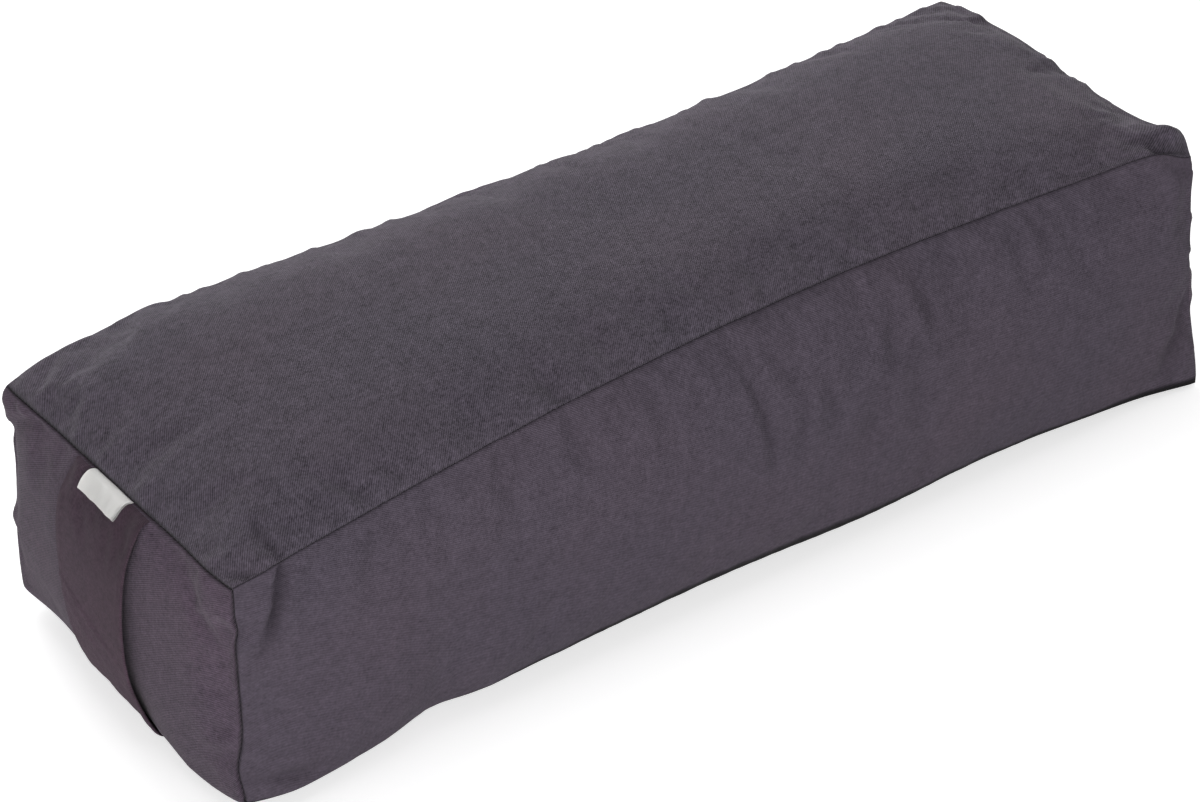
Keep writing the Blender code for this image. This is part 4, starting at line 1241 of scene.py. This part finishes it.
def addLabel():
    grids = {1: [], -1: []}
    cloth = []
    for share in np.linspace(-1, 1, label["columns"] + 1):
        y = label["offset"] + share * label["width"] / 2
        path = labelPath(y, max(0.0, -share) ** 3)
        tangent = np.gradient(path, axis=0)
        tangent /= np.linalg.norm(tangent, axis=1, keepdims=True)
        normal = np.stack([tangent[:, 2], np.zeros(len(path)), -tangent[:, 0]], axis=-1)
        for side in (1, -1):
            grids[side].append(path + normal * side * label["thickness"] / 2)
        length = np.concatenate([[0], np.cumsum(np.linalg.norm(np.diff(path, axis=0), axis=1))])
        cloth.append(np.stack([np.full(len(path), y), length], axis=-1))
    points, cells = closedSheet(np.stack(grids[1], axis=1), np.stack(grids[-1], axis=1))
    made = addMesh("sideLabel", points, cells, "label", "label", [np.stack(cloth, axis=1)] * 2)
    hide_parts("side_label")


addLabel()
print("label made")

# Inner bag and its filling of husks
innerBag = {"depth": 0.0032, "backDepth": 0.0046, "cell": 0.010, "apart": (0.9995, 0.999)}
husks = {"depth": 0.0042, "backDepth": 0.0056, "cell": 0.008, "grain": 0.0006, "seed": 7, "fill": 0.95,
         "colour": (0.42, 0.28, 0.14), "roughness": 0.8, "scale": 260, "relief": 0.0015,
         "darkest": 0.6, "toneShade": 0.6}


def innerGrid(face, setup, apart=(1, 1)):
    # the shares of a grid inside the cover, and its points
    counts = [max(2, int(round(2 * halfOf[way] / setup["cell"]))) for way in faces[face]["shares"]]
    a, b = gridOf(*(np.linspace(-1, 1, count + 1) * gap for count, gap in zip(counts, apart)))
    shares = allShares(face, a, b)
    points = skinPoints(*shares, setup["depth"], setup["backDepth"])
    return a, b, points + puckersAt(face, a, b) + lumpsAt(*shares)


def addBagPanel(name, face, node):
    halves = halvesOf(face)
    a, b, points = innerGrid(face, innerBag, innerBag["apart"])
    cloth = np.stack([a * halves[0], b * halves[1]], axis=-1)
    panel = addMesh(name, points, gridCells(*a.shape, isFlipped(face)), "bagCotton", "bag_cotton", cloth)
    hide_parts(node)


addBagPanel("bagTop", "top", "inner_bag_top")
addBagPanel("bagBottom", "bottom", "inner_bag_bottom")
addBagPanel("bagFront", "front", "inner_bag_front")
addBagPanel("bagBack", "back", "inner_bag_back")
addBagPanel("bagHandleEnd", "handleEnd", "inner_bag_handle_end")
addBagPanel("bagFarEnd", "farEnd", "inner_bag_far_end")


def makeHusks(look):
    material, tree, shader = newMaterial("huskGrain", look["colour"], {"Roughness": look["roughness"]})
    grains = addNode(tree, "ShaderNodeTexVoronoi")
    grains.inputs["Scale"].default_value = look["scale"]
    link(tree, objectPlace(tree), grains.inputs["Vector"])
    addBump(tree, shader, grains.outputs["Distance"], look["relief"])
    tone = addNode(tree, "ShaderNodeSeparateColor")
    link(tree, grains.outputs["Color"], tone.inputs[0])
    amount = addMath(tree, "MULTIPLY_ADD", tone.outputs[0], look["toneShade"], look["darkest"])
    tintBy(tree, shader, look["colour"], amount)
    return material


materials["husk"] = makeHusks(husks)


def addHusks():
    random = np.random.default_rng(husks["seed"])
    points = []
    cells = []
    places = {}
    for face in faces:
        a, b, grid = innerGrid(face, husks)
        shares = np.stack([np.broadcast_to(share, a.shape) for share in allShares(face, a, b)], axis=-1)
        number = np.zeros(a.shape, int)
        for place in np.ndindex(a.shape):
            key = tuple(np.round(shares[place], 6))
            if key not in places:
                places[key] = len(points)
                points.append(grid[place] + random.uniform(-1, 1, 3) * husks["grain"])
            number[place] = places[key]
        cells += quadsOf(number, isFlipped(face)).tolist()
    filling = addMesh("huskFilling", points, cells, "husk", "husk")
    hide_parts("husk_filling")


addHusks()
print("bag and filling made")

# Finishes of the zip's rigid pieces, which keep the frame's shapes
zipLooks = {
    "teeth": {"material": "zipTeethPlastic", "nodes": ("zip_teeth",), "colour": (0.026, 0.021, 0.028),
              "roughness": 0.45, "metallic": 0.0, "specular": 0.25},
    "metal": {"material": "zipGunmetal",
              "nodes": ("zip_slider", "zip_pull", "zip_top_stop", "zip_bottom_stop"),
              "colour": (0.22, 0.21, 0.22), "roughness": 0.32, "metallic": 1.0, "specular": 0.5},
}
hardWear = {"marks": 900, "relief": 0.00002, "wear": 160, "strength": 0.3,
            "smoothest": -0.12, "darkest": 0.85}


def makeHard(look, wear):
    material, tree, shader = newMaterial(look["material"], look["colour"], {
        "Roughness": look["roughness"], "Metallic": look["metallic"], "Specular IOR Level": look["specular"]})
    place = objectPlace(tree)
    addBump(tree, shader, addNoise(tree, place, wear["marks"], 3), wear["relief"])
    worn = addNoise(tree, place, wear["wear"], 4)
    roughness = addMath(tree, "MULTIPLY_ADD", worn, wear["strength"], look["roughness"] + wear["smoothest"])
    link(tree, roughness, shader.inputs["Roughness"])
    amount = addMath(tree, "MULTIPLY_ADD", worn, wear["strength"], wear["darkest"])
    tintBy(tree, shader, look["colour"], amount)
    return material


for look in zipLooks.values():
    hardMaterial = makeHard(look, hardWear)
    for nodeName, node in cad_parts.items():
        if nodeName.startswith(look["nodes"]):
            node.material_slots[0].material = hardMaterial
print("zip finished")
